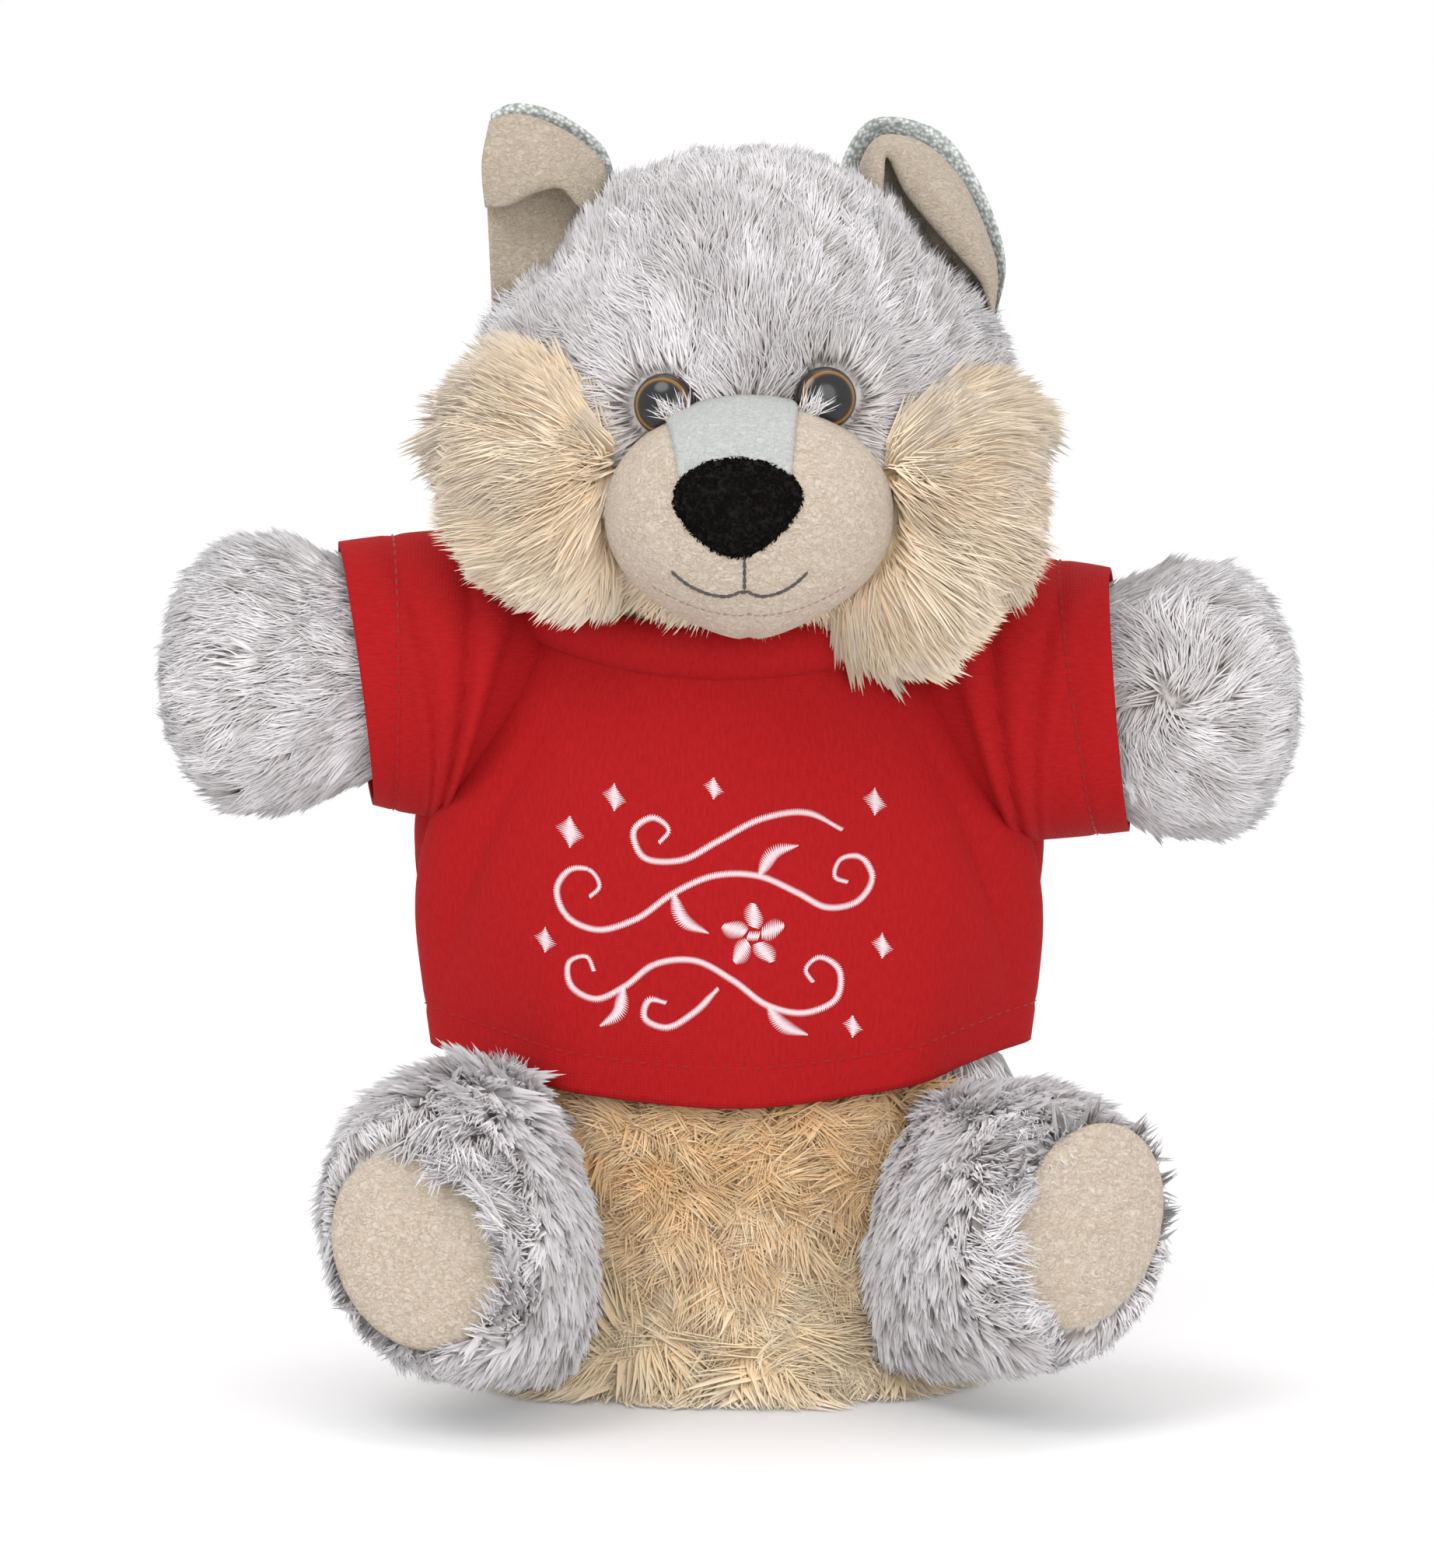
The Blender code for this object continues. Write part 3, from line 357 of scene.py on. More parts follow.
def waves(points, pitch, seed):
    """A value that wanders smoothly in space: the sum of six sines in set ways, each about one pitch
    long."""
    chance = np.random.default_rng(seed)
    ways = unit(chance.normal(size=(6, 3))) * (math.tau / pitch * chance.uniform(0.7, 1.4, 6))[:, None]
    return np.sin(points @ ways.T + chance.uniform(0, math.tau, 6)).sum(-1) / 2.6


def tangent(ways, face):
    """The part of each way that lies along the surface."""
    return unit(ways - dot(ways, face) * face)


def swing(ways, face, angle):
    """Each way turned on the surface by an angle."""
    return ways * np.cos(angle)[..., None] + np.cross(face, ways) * np.sin(angle)[..., None]


def surface_frame(surface, u, v):
    """Points of a surface, the way each faces, and how far a step of u and of v goes along it."""
    step = 1e-4
    across = (surface(u + step, v) - surface(u - step, v)) / (2 * step)
    up = (surface(u, v + step) - surface(u, v - step)) / (2 * step)
    size_u, size_v = (np.maximum(np.linalg.norm(side, axis=-1), 1e-6) for side in (across, up))
    return surface(u, v), unit(np.cross(across, up)), size_u, size_v


def strands(name, root, bend, tip, up, thick, tone, finish, rings=0, tail=0.4 * MM, lift=SOFT_LIFT):
    """Closed strands, each along a curve from its root by way of its bend to its tip. Without rings a
    strand is a thin blade of four triangles, and with one or two it is a three-sided spindle. They are
    shaded as one soft surface. The map holds the tone across and the place from root to tip upwards."""
    count, along, thick = len(root), tip - root, np.broadcast_to(thick, len(root))
    side = unit(np.cross(along, up))
    over = unit(np.cross(side, along))
    parts = [(root - tail * unit(bend - root))[:, None]]
    if rings == 0:
        middle = 0.25 * root + 0.5 * bend + 0.25 * tip
        rise = dot(middle - root, over)
        middle = middle + (np.maximum(BLADE_BEND * rise, 0.12 * MM) - rise) * over
        reach = thick[:, None] * side
        parts += [(middle + reach)[:, None], (middle - reach)[:, None]]
        shares, offsets = [0.0, 0.5, 0.5, 1.0], [0.0, -0.006, 0.006, 0.0]
        pattern = np.array([(0, 1, 2), (3, 2, 1), (1, 0, 3), (0, 2, 3)])
    else:
        angles = np.radians([90.0, 210.0, 330.0])
        around = np.cos(angles)[:, None] * side[:, None] + np.sin(angles)[:, None] * over[:, None]
        shares, offsets = [0.0], [0.0]
        for place, full in (((0.45, 1.0),), ((0.3, 1.0), (0.68, 0.8)))[rings - 1]:
            middle = (1 - place) ** 2 * root + 2 * place * (1 - place) * bend + place ** 2 * tip
            parts.append(middle[:, None] + full * thick[:, None, None] * around)
            shares += [place] * 3
            offsets += [-0.006, 0.006, 0.0]
        shares, offsets = shares + [1.0], offsets + [0.0]
        i, j, zero, last = np.array([1, 2, 3]), np.array([2, 3, 1]), np.zeros(3, int), 3 * rings + 1
        pattern = [np.stack([zero, i, j], -1), np.stack([zero + last, j + last - 4, i + last - 4], -1)]
        if rings == 2:
            pattern += [np.stack([j, i, i + 3], -1), np.stack([j, i + 3, j + 3], -1)]
        pattern = np.concatenate(pattern)
    points = np.concatenate(parts + [tip[:, None]], 1)
    size = points.shape[1]
    faces = (np.arange(count)[:, None, None] * size + pattern).reshape(-1, 3)
    spot = np.stack(np.broadcast_arrays(tone[:, None] + offsets, shares), -1).reshape(-1, 2)
    points = points.reshape(-1, 3)
    points[:, 2] = np.maximum(points[:, 2], 0.1 * MM)
    piece = make_piece(name, points, [faces], [spot[faces]], finish, "OFBake")
    soft = np.repeat(unit(up + 0.25 * unit(along) + lift), size, 0)
    piece.data.normals_split_custom_set_from_vertices(soft.astype(np.float32))
    return piece


def grow(name, surface, spans, seed, tufts, hairs, spread, length, thick, rise, flow, wanted, tone, finish,
         gather=0.55, wobble=0.3, clear=None, swirl=14 * MM, lift_to=SOFT_LIFT):
    """Pile on a surface. Tufts are spread evenly and kept where they are wanted, and each leans along the
    flow, which wanders from place to place. Its strands start upright, bend over, and gather towards the
    tuft's tip."""
    chance = np.random.default_rng(seed)
    order = np.arange(1, 24 * tufts + 1)
    u, v = (low + (high - low) * ((order * step) % 1.0) for (low, high), step in zip(spans, FIBRE_STEPS))
    at, face, size_u, size_v = surface_frame(surface, u, v)
    weight = size_u * size_v * wanted(at, face)
    kept = np.flatnonzero(chance.random(len(order)) < weight / np.quantile(weight[weight > 0], 0.98))[:tufts]
    u, v, at, face, size_u, size_v = (values[kept] for values in (u, v, at, face, size_u, size_v))
    turn = wobble * (2.0 * waves(at, swirl, seed) + chance.normal(size=len(at)))
    way = swing(tangent(flow(at), face), face, turn)
    long = length(at) * chance.uniform(0.8, 1.15, len(at))
    lift = np.clip(rise * chance.uniform(0.7, 1.3, len(at)), 0.05, 0.98)[:, None]
    peak = at + long[:, None] * (lift * face + np.sqrt(1 - lift ** 2) * way)
    owner = np.repeat(np.arange(len(at)), hairs)
    shift_u, shift_v = chance.normal(0.0, spread, (2, len(owner)))
    u, v = u[owner] + shift_u / size_u[owner], v[owner] + shift_v / size_v[owner]
    root, up, _, _ = surface_frame(surface, u, v)
    way = swing(tangent(way[owner], up), up, wobble * chance.normal(size=len(owner)))
    long = long[owner] * chance.uniform(0.7, 1.1, len(owner))
    lift = lift[owner]
    tip = root + long[:, None] * (lift * up + np.sqrt(1 - lift ** 2) * way)
    tip += gather * (peak[owner] + chance.normal(0, 0.25 * spread, tip.shape) - tip)
    bend = root + long[:, None] * (0.4 * up + 0.15 * way)
    for points in (bend, tip):
        low = np.maximum(LAID_ON_FLOOR - points[:, 2], 0.0)
        points += 0.5 * low[:, None] * unit(up * [1.0, 1.0, 0.0])
        points[:, 2] += low
    shade = np.clip(tone(at)[owner] + chance.normal(0, 0.13, len(owner)), 0.02, 0.98)
    good = (wanted(root, up) > 0) & (clear(root, bend, tip) if clear else True)
    root, bend, tip, up, shade = (values[good] for values in (root, bend, tip, up, shade))
    width = thick * chance.uniform(0.75, 1.25, len(root))
    return strands(name, root, bend, tip, up, width, shade, finish, lift=lift_to)


frosted_pile = pile_material("frosted_polyester_pile", FROSTED_DARK, FROSTED_PALE)
golden_pile = pile_material("golden_polyester_pile", GOLDEN_DARK, GOLDEN_PALE)


def body_skin(turn, height):
    return body_point(turn, height, PILE_ON_BODY)


def down_and_out(points):
    """Pile that hangs, and spreads away from the body near the floor."""
    outward = unit((points - [0.0, BODY_Y, 0.0]) * [1.0, 1.0, 0.0])
    near_floor = np.exp(-points[:, 2:] / (10 * MM))
    return outward * (0.2 + 1.8 * near_floor) - [0.0, 0.0, 1.0]


back_pile = grow(
    "back_pile", body_skin, ((BODY_SEAM, math.tau - BODY_SEAM), (1.5 * MM, 80 * MM)), seed=11, tufts=1400,
    hairs=8, spread=1.3 * MM, length=lambda at: np.full(len(at), 9 * MM), thick=0.3 * MM, rise=0.45,
    flow=down_and_out, wanted=lambda at, face: (at[:, 2] > 0) & (at[:, 2] < 68 * MM),
    tone=lambda at: 0.7 + 0.25 * waves(at, 25 * MM, 3), finish=frosted_pile,
)


def belly_flow(points):
    """Pile that curls this way and that in front, and fans out from the middle over the floor below."""
    fan = points - [0.0, BODY_Y - 20 * MM, 42 * MM]
    way = unit(fan * [1.0, 0.35, 1.0]) * np.clip((44 * MM - points[:, 2:]) / (14 * MM), 0, 1)
    return way + 0.6 * down_and_out(points)


def belly_length(points):
    """Pile 13.5 mm long, and longer where it spreads on the floor."""
    fringe = (4 + 3 * waves(points, 9 * MM, 7)) * (points[:, 2] < 16 * MM)
    return (13.5 + 1.5 * waves(points, 12 * MM, 5) + fringe) * MM


def belly_wanted(points, face):
    """Pile grows up to the hem of the shirt, which is higher at the sides."""
    return (points[:, 2] > 0) & (points[:, 2] < 60.5 * MM + 0.1 * np.abs(points[:, 0]))


def belly_tone_and_painted_light(points):
    """Golden under the shirt, and paler towards the floor: painted shade up under the hem, and painted light
    where the fringe lies facing up, over the fringe's own paler tips.
    """
    return np.clip(1.3 - points[:, 2] / (44 * MM), 0.2, 1) + 0.22 * waves(points, 15 * MM, 6)


belly_pile = grow(
    "belly_pile", body_skin, ((-BODY_SEAM - 0.05, BODY_SEAM + 0.05), (1.5 * MM, 72 * MM)), seed=12,
    tufts=1300, hairs=17, spread=1.5 * MM, length=belly_length, thick=0.165 * MM, rise=0.42,
    flow=belly_flow, wanted=belly_wanted, tone=belly_tone_and_painted_light, finish=golden_pile, gather=0.6, wobble=0.62,
    swirl=15 * MM, lift_to=LOW_LIFT,
)

# Arms: two mittens of the grey plush, sewn closed at the end, with a finger pocket inside. The nap runs out
# along each arm. On the right one it whirls round a point on the front, as if brushed the wrong way.
ARM_FROM = {"left": np.array([-38.0, 24.0, 145.5]) * MM, "right": np.array([36.5, 24.0, 140.5]) * MM}
ARM_TURN = {"left": (0.0, 0.0, 186.0), "right": (0.0, 0.5, -6.0)}
ARM_PROFILE = np.array([
    (0.0, 18.0, 14.5), (14.0, 18.5, 15.5), (24.0, 18.5, 19.5), (34.0, 19.0, 22.5), (44.0, 20.5, 25.5),
    (53.0, 22.0, 29.0), (60.0, 22.0, 29.5),
]) * MM
ARM_BEND, ARM_CAP = 60.0 * MM, 20.5 * MM
SLEEVE_TO = {"left": 40.0 * MM, "right": 43.5 * MM}
POCKET_RADIUS = 12.0 * MM
PILE_ON_ARM = 4.4 * MM
UNDER_CUFF = 7.0 * MM
WHIRL_AT, WHIRL_REACH = np.array([88.0, 0.0, 142.0]) * MM, 13.0 * MM


def turned(points, at, degrees):
    """Points of a piece's own frame, turned about X, Y and Z and moved to their place."""
    spin = np.array(Euler([math.radians(d) for d in degrees]).to_matrix())
    return points @ spin.T + at


def arm_point(side, turn, v, inset):
    """A mitten: an ellipse round the arm that follows the profile up to v = 1, and a round cap up to v =
    2."""
    tube, cap = np.clip(v, 0, 1) * ARM_BEND, np.clip(v - 1, 0, 1) * math.pi / 2
    inset = inset * np.clip((tube - 12 * MM) / (20 * MM), 0.25, 1.0)
    half_depth, half_height = along_profile(ARM_PROFILE, tube)
    local = np.stack(np.broadcast_arrays(
        tube + (ARM_CAP - inset) * np.sin(cap),
        (half_depth - inset) * np.cos(cap) * np.cos(turn),
        (half_height - inset) * np.cos(cap) * np.sin(turn),
    ), -1)
    return turned(local, ARM_FROM[side], ARM_TURN[side])


def arm_flow(points, side):
    """Nap that runs out along the arm and opens towards its end, with the whirl on the right one."""
    out = np.array([-1.0 if side == "left" else 1.0, 0.0, -0.12])
    middle = ARM_FROM[side] + np.array([52 * MM, 0, 0]) * out
    way = out + 0.55 * unit(points - middle)
    if side == "right":
        away = (points - WHIRL_AT) * [1.0, 0.0, 1.0]
        near = nearness(away, WHIRL_REACH) * (points[:, 1:2] < BODY_Y)
        way = way * (1 - near) + 1.6 * near * (unit(away) + 1.3 * unit(np.cross(away, [0.0, 1.0, 0.0])))
    return way


arm_cloth = backing_cloth("arm_cloth", BACKING_GREY)
for side in ("left", "right"):
    columns = np.linspace(0, math.tau, 49)[:-1]
    # The root follows the side of the glove, so that the arm starts on its seam.
    inner_rows = np.array([0.0, 0.5, 0.8, 0.93, 1.0]) * 60 * MM
    inner_sizes = np.array([1.0, 1.0, 1.0, 0.8, 0.35]) * (POCKET_RADIUS - 0.5 * MM)
    pocket = np.stack(np.broadcast_arrays(
        inner_rows[:, None], inner_sizes[:, None] * np.cos(columns), inner_sizes[:, None] * np.sin(columns),
    ), -1)
    pocket = turned(pocket[::-1], ARM_FROM[side], ARM_TURN[side])
    outside = arm_point(side, columns[None, :], np.linspace(0, 1.97, 42)[:, None], PILE_ON_ARM)
    rings = np.concatenate([pocket, outside])
    half_width, half_depth = along_profile(BODY_PROFILE, rings[..., 2])
    edge = half_width * np.sqrt(np.clip(1 - ((rings[..., 1] - BODY_Y) / half_depth) ** 2, 0, 1))
    sign = -1.0 if side == "left" else 1.0
    rings[..., 0] = sign * np.maximum(sign * rings[..., 0], edge - PILE_ON_BODY + 0.4 * MM)
    mitten = stuffed("mitten_" + side, rings, (150 * MM, 140 * MM), arm_cloth)
    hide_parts("arm_" + side)
    hole = (ARM_FROM[side] + [-sign * 8 * MM, 0, 0], ARM_FROM[side] + [sign * 16 * MM, 0, 0])
    cut_round(back_backing, hole, POCKET_RADIUS - 0.5 * MM)
    start = (SLEEVE_TO[side] - UNDER_CUFF) / ARM_BEND
    mitten_pile = grow(
        "mitten_pile_" + side, lambda turn, v: arm_point(side, turn, v, PILE_ON_ARM),
        ((0, math.tau), (start, 1.98)), seed=20 + len(side), tufts=1600, hairs=10, spread=1.1 * MM,
        length=lambda at: np.full(len(at), 8.2 * MM), thick=0.2 * MM, rise=0.4,
        flow=lambda at: arm_flow(at, side), wanted=lambda at, face: np.where(face[:, 1] < 0.25, 1.0, 0.55),
        tone=lambda at: 0.55 + 0.32 * waves(at, 9 * MM, 8), finish=frosted_pile, wobble=0.16,
    )

# Feet: two stuffed legs of the grey plush, sewn to the front corners of the glove, each with an oval sole
# of beige velour on its end. The nap runs forward and down, and dark roots show in a parting by the sole.
LEG_FROM = {"left": np.array([-43.5, -11.0, 34.5]) * MM, "right": np.array([43.0, -12.5, 34.0]) * MM}
LEG_TURN = {"left": (-9.0, -15.0, -20.0), "right": (-9.0, 18.0, 28.0)}
LEG_HEIGHT = {"left": 0.98, "right": 0.91}
LEG_PROFILE = (
    (-16.0, 12.0, 31.0, 1.0), (0.0, 18.0, 34.0, 1.0), (16.0, 24.0, 34.0, 0.5), (32.0, 26.0, 33.0, 0.0),
    (43.0, 25.0, 30.0, -2.0), (48.0, 22.5, 26.5, -3.0),
)
LEG_LENGTH = 50.0 * MM
SOLE_HALF = {"left": np.array([17.5, 20.2]) * MM, "right": np.array([16.6, 21.2]) * MM}
SOLE_SET = {"left": -5.0 * MM, "right": 0.2 * MM}
SOLE_SKEW = {"left": -0.14, "right": 0.18}
LEG_RIDGE = {"left": 1.3, "right": 0.25}
LEG_TONE = {"left": 0.95, "right": 0.75}
LEG_TUFT = np.array([-47.0, 64.0]) * MM
SOLE_DOME = 3.4 * MM
SOLE_LEAN = 0.05
PILE_ON_LEG = 4.6 * MM
VELOUR_BEIGE, VELOUR_PALE, VELOUR_SHADE = "#C4B5A4", "#D6CABB", "#B3A18D"


def velour(name, shade, middle, pale, nap=1.0 * MM):
    """Short velour: a nap under a millimetre long that lies in flecks, pale where it catches the light."""
    material, tree, shader = start_material(name, Roughness=0.85, Sheen_Weight=0.15, Specular_IOR_Level=0.2)
    place = add(tree, "TexCoord").outputs["Object"]
    lying = add(tree, "Mapping", {"Vector": place, "Rotation": (0.0, 0.6, 0.0), "Scale": (1.0, 1.0, 1.5)})
    look = {"Vector": lying.outputs[0], "Scale": 0.8 / nap, "Detail": 4.0, "Distortion": 1.8}
    fleck = add(tree, "TexNoise", look)
    stops = [(0.32, shade), (0.5, middle), (0.68, pale)]
    tint = add(tree, "ValToRGB", {"Fac": fleck.outputs["Fac"]}, stops=stops)
    relief = add(tree, "Bump", {"Height": fleck.outputs["Fac"], "Strength": 1.0, "Distance": 0.5 * MM})
    wire(tree, shader, tint, relief)
    return material


def leg_point(side, turn, along, inset):
    """A leg: an ellipse at each step along it, that ends in the oval of the sole."""
    rows = [(at, wide, high * LEG_HEIGHT[side], rise) for at, wide, high, rise in LEG_PROFILE]
    end = SOLE_HALF[side] / MM + inset / MM
    profile = np.array(rows + [(50.0, end[0], end[1], SOLE_SET[side] / MM)]) * MM
    half_width, half_height, rise = along_profile(profile, along)
    up = (half_height - inset) * np.sin(turn)
    near_sole = np.clip(along / LEG_LENGTH, 0, 1)
    across = (half_width - inset) * np.cos(turn) + SOLE_SKEW[side] * near_sole ** 2 * up
    local = np.stack(np.broadcast_arrays(across, -along + SOLE_LEAN * near_sole * up, rise + up), -1)
    return turned(local, LEG_FROM[side], LEG_TURN[side])


leg_cloth = backing_cloth("leg_cloth", "#D2CAC6")
beige_velour = velour("beige_velour", VELOUR_SHADE, VELOUR_BEIGE, VELOUR_PALE)
for side in ("left", "right"):
    columns = np.linspace(0, math.tau, 65)[:-1]
    rings = leg_point(side, columns[None, :], np.linspace(-16 * MM, 50 * MM, 34)[:, None], PILE_ON_LEG)
    rings[..., 2] = np.maximum(rings[..., 2], 4.5 * MM)
    leg = stuffed("stuffed_leg_" + side, rings, (150 * MM, 90 * MM), leg_cloth)
    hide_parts("leg_" + side)

    shares = np.array([1.0, 1.0, 0.99, 0.96, 0.9, 0.82, 0.72, 0.6, 0.46, 0.3, 0.14])
    outs = np.array([0.0, 0.16, 0.3, 0.46, 0.6, 0.72, 0.82, 0.9, 0.95, 0.98, 1.0])[:, None]
    up = SOLE_HALF[side][1] * shares[:, None] * np.sin(columns)
    pucker = 0.25 * MM * np.sin(23 * columns) * outs * (shares[:, None] > 0.8)
    ahead = LEG_LENGTH + 0.3 * MM + SOLE_DOME * outs + pucker - SOLE_LEAN * up
    across = SOLE_HALF[side][0] * shares[:, None] * np.cos(columns) + SOLE_SKEW[side] * up
    local = np.stack([across, -ahead, SOLE_SET[side] + up], -1)
    sole = stuffed("velour_sole_" + side, turned(local, LEG_FROM[side], LEG_TURN[side]), (40 * MM, 40 * MM),
                   beige_velour)
    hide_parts("sole_" + side)

    ahead_way, across_way = turned(np.array([[0.0, -1.0, 0.0], [1.0, 0.0, 0.0]]), np.zeros(3), LEG_TURN[side])
    middle = LEG_FROM[side] + 30 * MM * ahead_way
    inner_way = across_way if side == "left" else -across_way

    def leg_place(at):
        """How near the sole a place is, and how far round on the inner side, each from 0 to 1."""
        near = np.clip((dot(at - LEG_FROM[side], ahead_way) - 36 * MM) / (9 * MM), 0, 1)
        return near, np.clip(dot(at - LEG_FROM[side], inner_way) / (9 * MM), 0, 1)

    def leg_flow(at):
        """Nap that runs forward and out, and lies down by the sole, where its inner ridge falls over it."""
        near, inner = leg_place(at)
        radial = unit(at - middle - dot(at - middle, ahead_way) * ahead_way)
        forward, outward = 0.4 - 0.3 * near * (1 - inner), 0.35 - LEG_RIDGE[side] * near * inner
        return forward * ahead_way + outward * radial - [0.0, 0.0, 0.6] * (1 - near)

    def leg_tone(at):
        """Mottled pile, with darker roots that show in a parting on the inner side of the sole."""
        near, inner = (share[:, 0] for share in leg_place(at))
        return LEG_TONE[side] + 0.5 * waves(at, 10 * MM, 9) - 1.6 * near * (1 - near) * inner

    def leg_length(at):
        """Pile 8 mm long, and longer on top, in a tuft on the left leg, and in the ridge by the sole."""
        near, inner = (share[:, 0] for share in leg_place(at))
        top = np.clip((at[:, 2] - 55 * MM) / (10 * MM), 0, 1)
        tuft = nearness(at[:, [0, 2]] - LEG_TUFT, 8 * MM)[:, 0]
        return (8.2 + 2.5 * top + 5 * tuft + near * (3.0 * LEG_RIDGE[side] * inner - 2.6 * (1 - inner))) * MM

    def leg_wanted(at, face):
        """Pile grows outside the glove, and thinly where the leg faces back."""
        free = in_ball(at, [0, BODY_Y, 35 * MM], [55 * MM, 37 * MM, 400 * MM]) > 1
        return np.where(face[:, 1] < 0.4, 1.0, 0.4) * free

    leg_pile = grow(
        "leg_pile_" + side, lambda turn, along: leg_point(side, turn, along, PILE_ON_LEG),
        ((0, math.tau), (-10 * MM, 49.8 * MM)), seed=30 + len(side), tufts=1900, hairs=10,
        spread=1.2 * MM, length=leg_length, thick=0.2 * MM, rise=0.38, flow=leg_flow, wanted=leg_wanted,
        tone=leg_tone, finish=frosted_pile, wobble=0.25, lift_to=LOW_LIFT,
    )

# Head: a stuffed ball of the grey plush. A pocket for the fingers runs up into it from the glove, lined
# with a tube of white cotton that the CAD model already shapes. The nap runs out from the bridge of the
# muzzle, up and back.
POCKET_AT = np.array([0.0, 24.0]) * MM
BORE_RADIUS, BORE_TOP = 15.0 * MM, 206.0 * MM
PILE_ON_HEAD = 4.6 * MM
NAP_FROM = np.array([2.5, -34.0, 196.0]) * MM
MUZZLE_AT = np.array([3.0, -32.0, 179.5]) * MM
MUZZLE_HALF = np.array([28.6, 30.0, 22.5]) * MM
CHEEK_AT = {"left": np.array([-34.0, -6.0, 186.0]) * MM, "right": np.array([38.0, -7.0, 178.5]) * MM}
CHEEK_HALF = {"left": np.array([26.5, 33.0, 31.0]) * MM, "right": np.array([26.0, 34.0, 34.0]) * MM}
CHEEK_TILT = {"left": -22.0, "right": 17.0}
EYE_AT = {"left": np.array([-13.9, 201.0]) * MM, "right": np.array([18.3, 202.3]) * MM}
EYE_RADIUS = 6.2 * MM
EAR_SEWN = np.array([(-39.0, 230.0), (42.5, 230.0)]) * MM
EAR_DENT, EAR_DENT_OVER = 5.0 * MM, 13.0 * MM


def dented(points):
    """The head's skin, pulled in where the ears are sewn on."""
    for middle in EAR_SEWN:
        near = nearness(points[..., [0, 2]] - middle, EAR_DENT_OVER)
        points = points - EAR_DENT * near * unit(points - HEAD_AT)
    return points


def head_point(turn, rise):
    """The head: a ball with three half sizes, by its turn about the upright and its rise."""
    return dented(HEAD_AT + ball_way(turn, rise) * (HEAD_HALF - PILE_ON_HEAD))


# The ball's poles are turned so that the lower one lies on the axis of the pocket, and its last ring opens
# into it.
half = HEAD_HALF - PILE_ON_HEAD
pole = np.array([(POCKET_AT[0] - HEAD_AT[0]) / half[0], (POCKET_AT[1] - HEAD_AT[1]) / half[1], 0.0])
pole[2] = -math.sqrt(1 - dot(pole, pole)[0])
side_way = unit(np.cross(pole, [0.0, 1.0, 0.0]))
other_way = np.cross(side_way, pole)
columns = np.linspace(0, math.tau, 73)[:-1]
angles = np.radians(np.linspace(18.0, 178.0, 46))[:, None]
way = (np.cos(angles)[..., None] * pole + (np.sin(angles) * np.cos(columns))[..., None] * side_way
       + (np.sin(angles) * np.sin(columns))[..., None] * other_way)
ball = dented(HEAD_AT + way * half)
bore_turn = np.arctan2(ball[0, :, 1] - POCKET_AT[1], ball[0, :, 0] - POCKET_AT[0])
bore_sizes = np.array([0.3, 0.75, 1.0, 1.0, 1.0, 1.0])[:, None] * BORE_RADIUS
bore_end = [BORE_TOP - 0.4 * MM, BORE_TOP - 2.5 * MM]
bore_heights = np.array(bore_end + [198.5 * MM, 185 * MM, 170 * MM, 158 * MM])[:, None]
bore_x = POCKET_AT[0] + bore_sizes * np.cos(bore_turn)
bore_y = POCKET_AT[1] + bore_sizes * np.sin(bore_turn)
bore = np.stack(np.broadcast_arrays(bore_x, bore_y, bore_heights), -1)
head_ball = stuffed("head_ball", np.concatenate([bore, ball]), (300 * MM, 160 * MM),
                    backing_cloth("head_cloth", BACKING_GREY))
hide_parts("head_crown")


def in_cheek(points, side, grow_by):
    """How far out a point lies in the ball of a cheek, which is tilted about Y."""
    tilt = math.radians(CHEEK_TILT[side])
    x, y, z = np.moveaxis(points - CHEEK_AT[side], -1, 0)
    own = np.stack([x * math.cos(tilt) - z * math.sin(tilt), y, x * math.sin(tilt) + z * math.cos(tilt)], -1)
    return np.linalg.norm(own / (CHEEK_HALF[side] + grow_by), axis=-1)


def eye_distance(points, side):
    return np.linalg.norm(points[:, [0, 2]] - EYE_AT[side], axis=-1)


def crown_wanted(at, face):
    """Where the head's own pile grows: not under the muzzle, the cheeks or the eyes, and not into the
    pocket."""
    free = in_ball(at, MUZZLE_AT, MUZZLE_HALF - 2 * MM) > 1
    for side in ("left", "right"):
        free &= in_cheek(at, side, -9 * MM) > 1
        free &= (eye_distance(at, side) > EYE_RADIUS - 0.6 * MM) | (at[:, 1] > 0)
    free &= (np.linalg.norm(at[:, :2] - POCKET_AT, axis=-1) > BORE_RADIUS + 2 * MM) | (at[:, 2] > 200 * MM)
    free &= at[:, 2] > 158 * MM
    return free * np.where(at[:, 1] < 8 * MM, 1.0, 0.45)


def eyes_clear(root, bend, tip):
    """Keeps the pile off the eyes, but for a few strands that cross their inner corners."""
    clear = np.ones(len(root), bool)
    few = np.random.default_rng(5).random(len(root))
    for side, inner in (("left", 1.0), ("right", -1.0)):
        nearest = np.minimum(eye_distance(tip, side), eye_distance((bend + tip) / 2, side))
        over = nearest < EYE_RADIUS - 0.6 * MM
        corner = (tip[:, 0] - EYE_AT[side][0]) * inner - (tip[:, 2] - EYE_AT[side][1]) * 0.8 > 2.6 * MM
        clear &= ~over | (tip[:, 1] > 0) | (corner & (few < 0.55))
    return clear


def crown_flow(points):
    """Nap that runs out from the bridge of the muzzle, up and back, and parts round the eyes."""
    way = unit(points - NAP_FROM) + [0.0, 0.0, 0.25] + 0.25 * unit(points - HEAD_AT)
    for side, inner in (("left", 1.0), ("right", -1.0)):
        away = (points - [EYE_AT[side][0], 0.0, EYE_AT[side][1]]) * [1.0, 0.0, 1.0]
        near = nearness(away, 9.5 * MM) * (points[:, 1:2] < 0)
        crossing = np.clip(away[:, :1] * inner / (4 * MM), 0, 1) * (away[:, 2:] < 2 * MM)
        way = way + 2.2 * near * (1 - crossing) * unit(away)
    return way


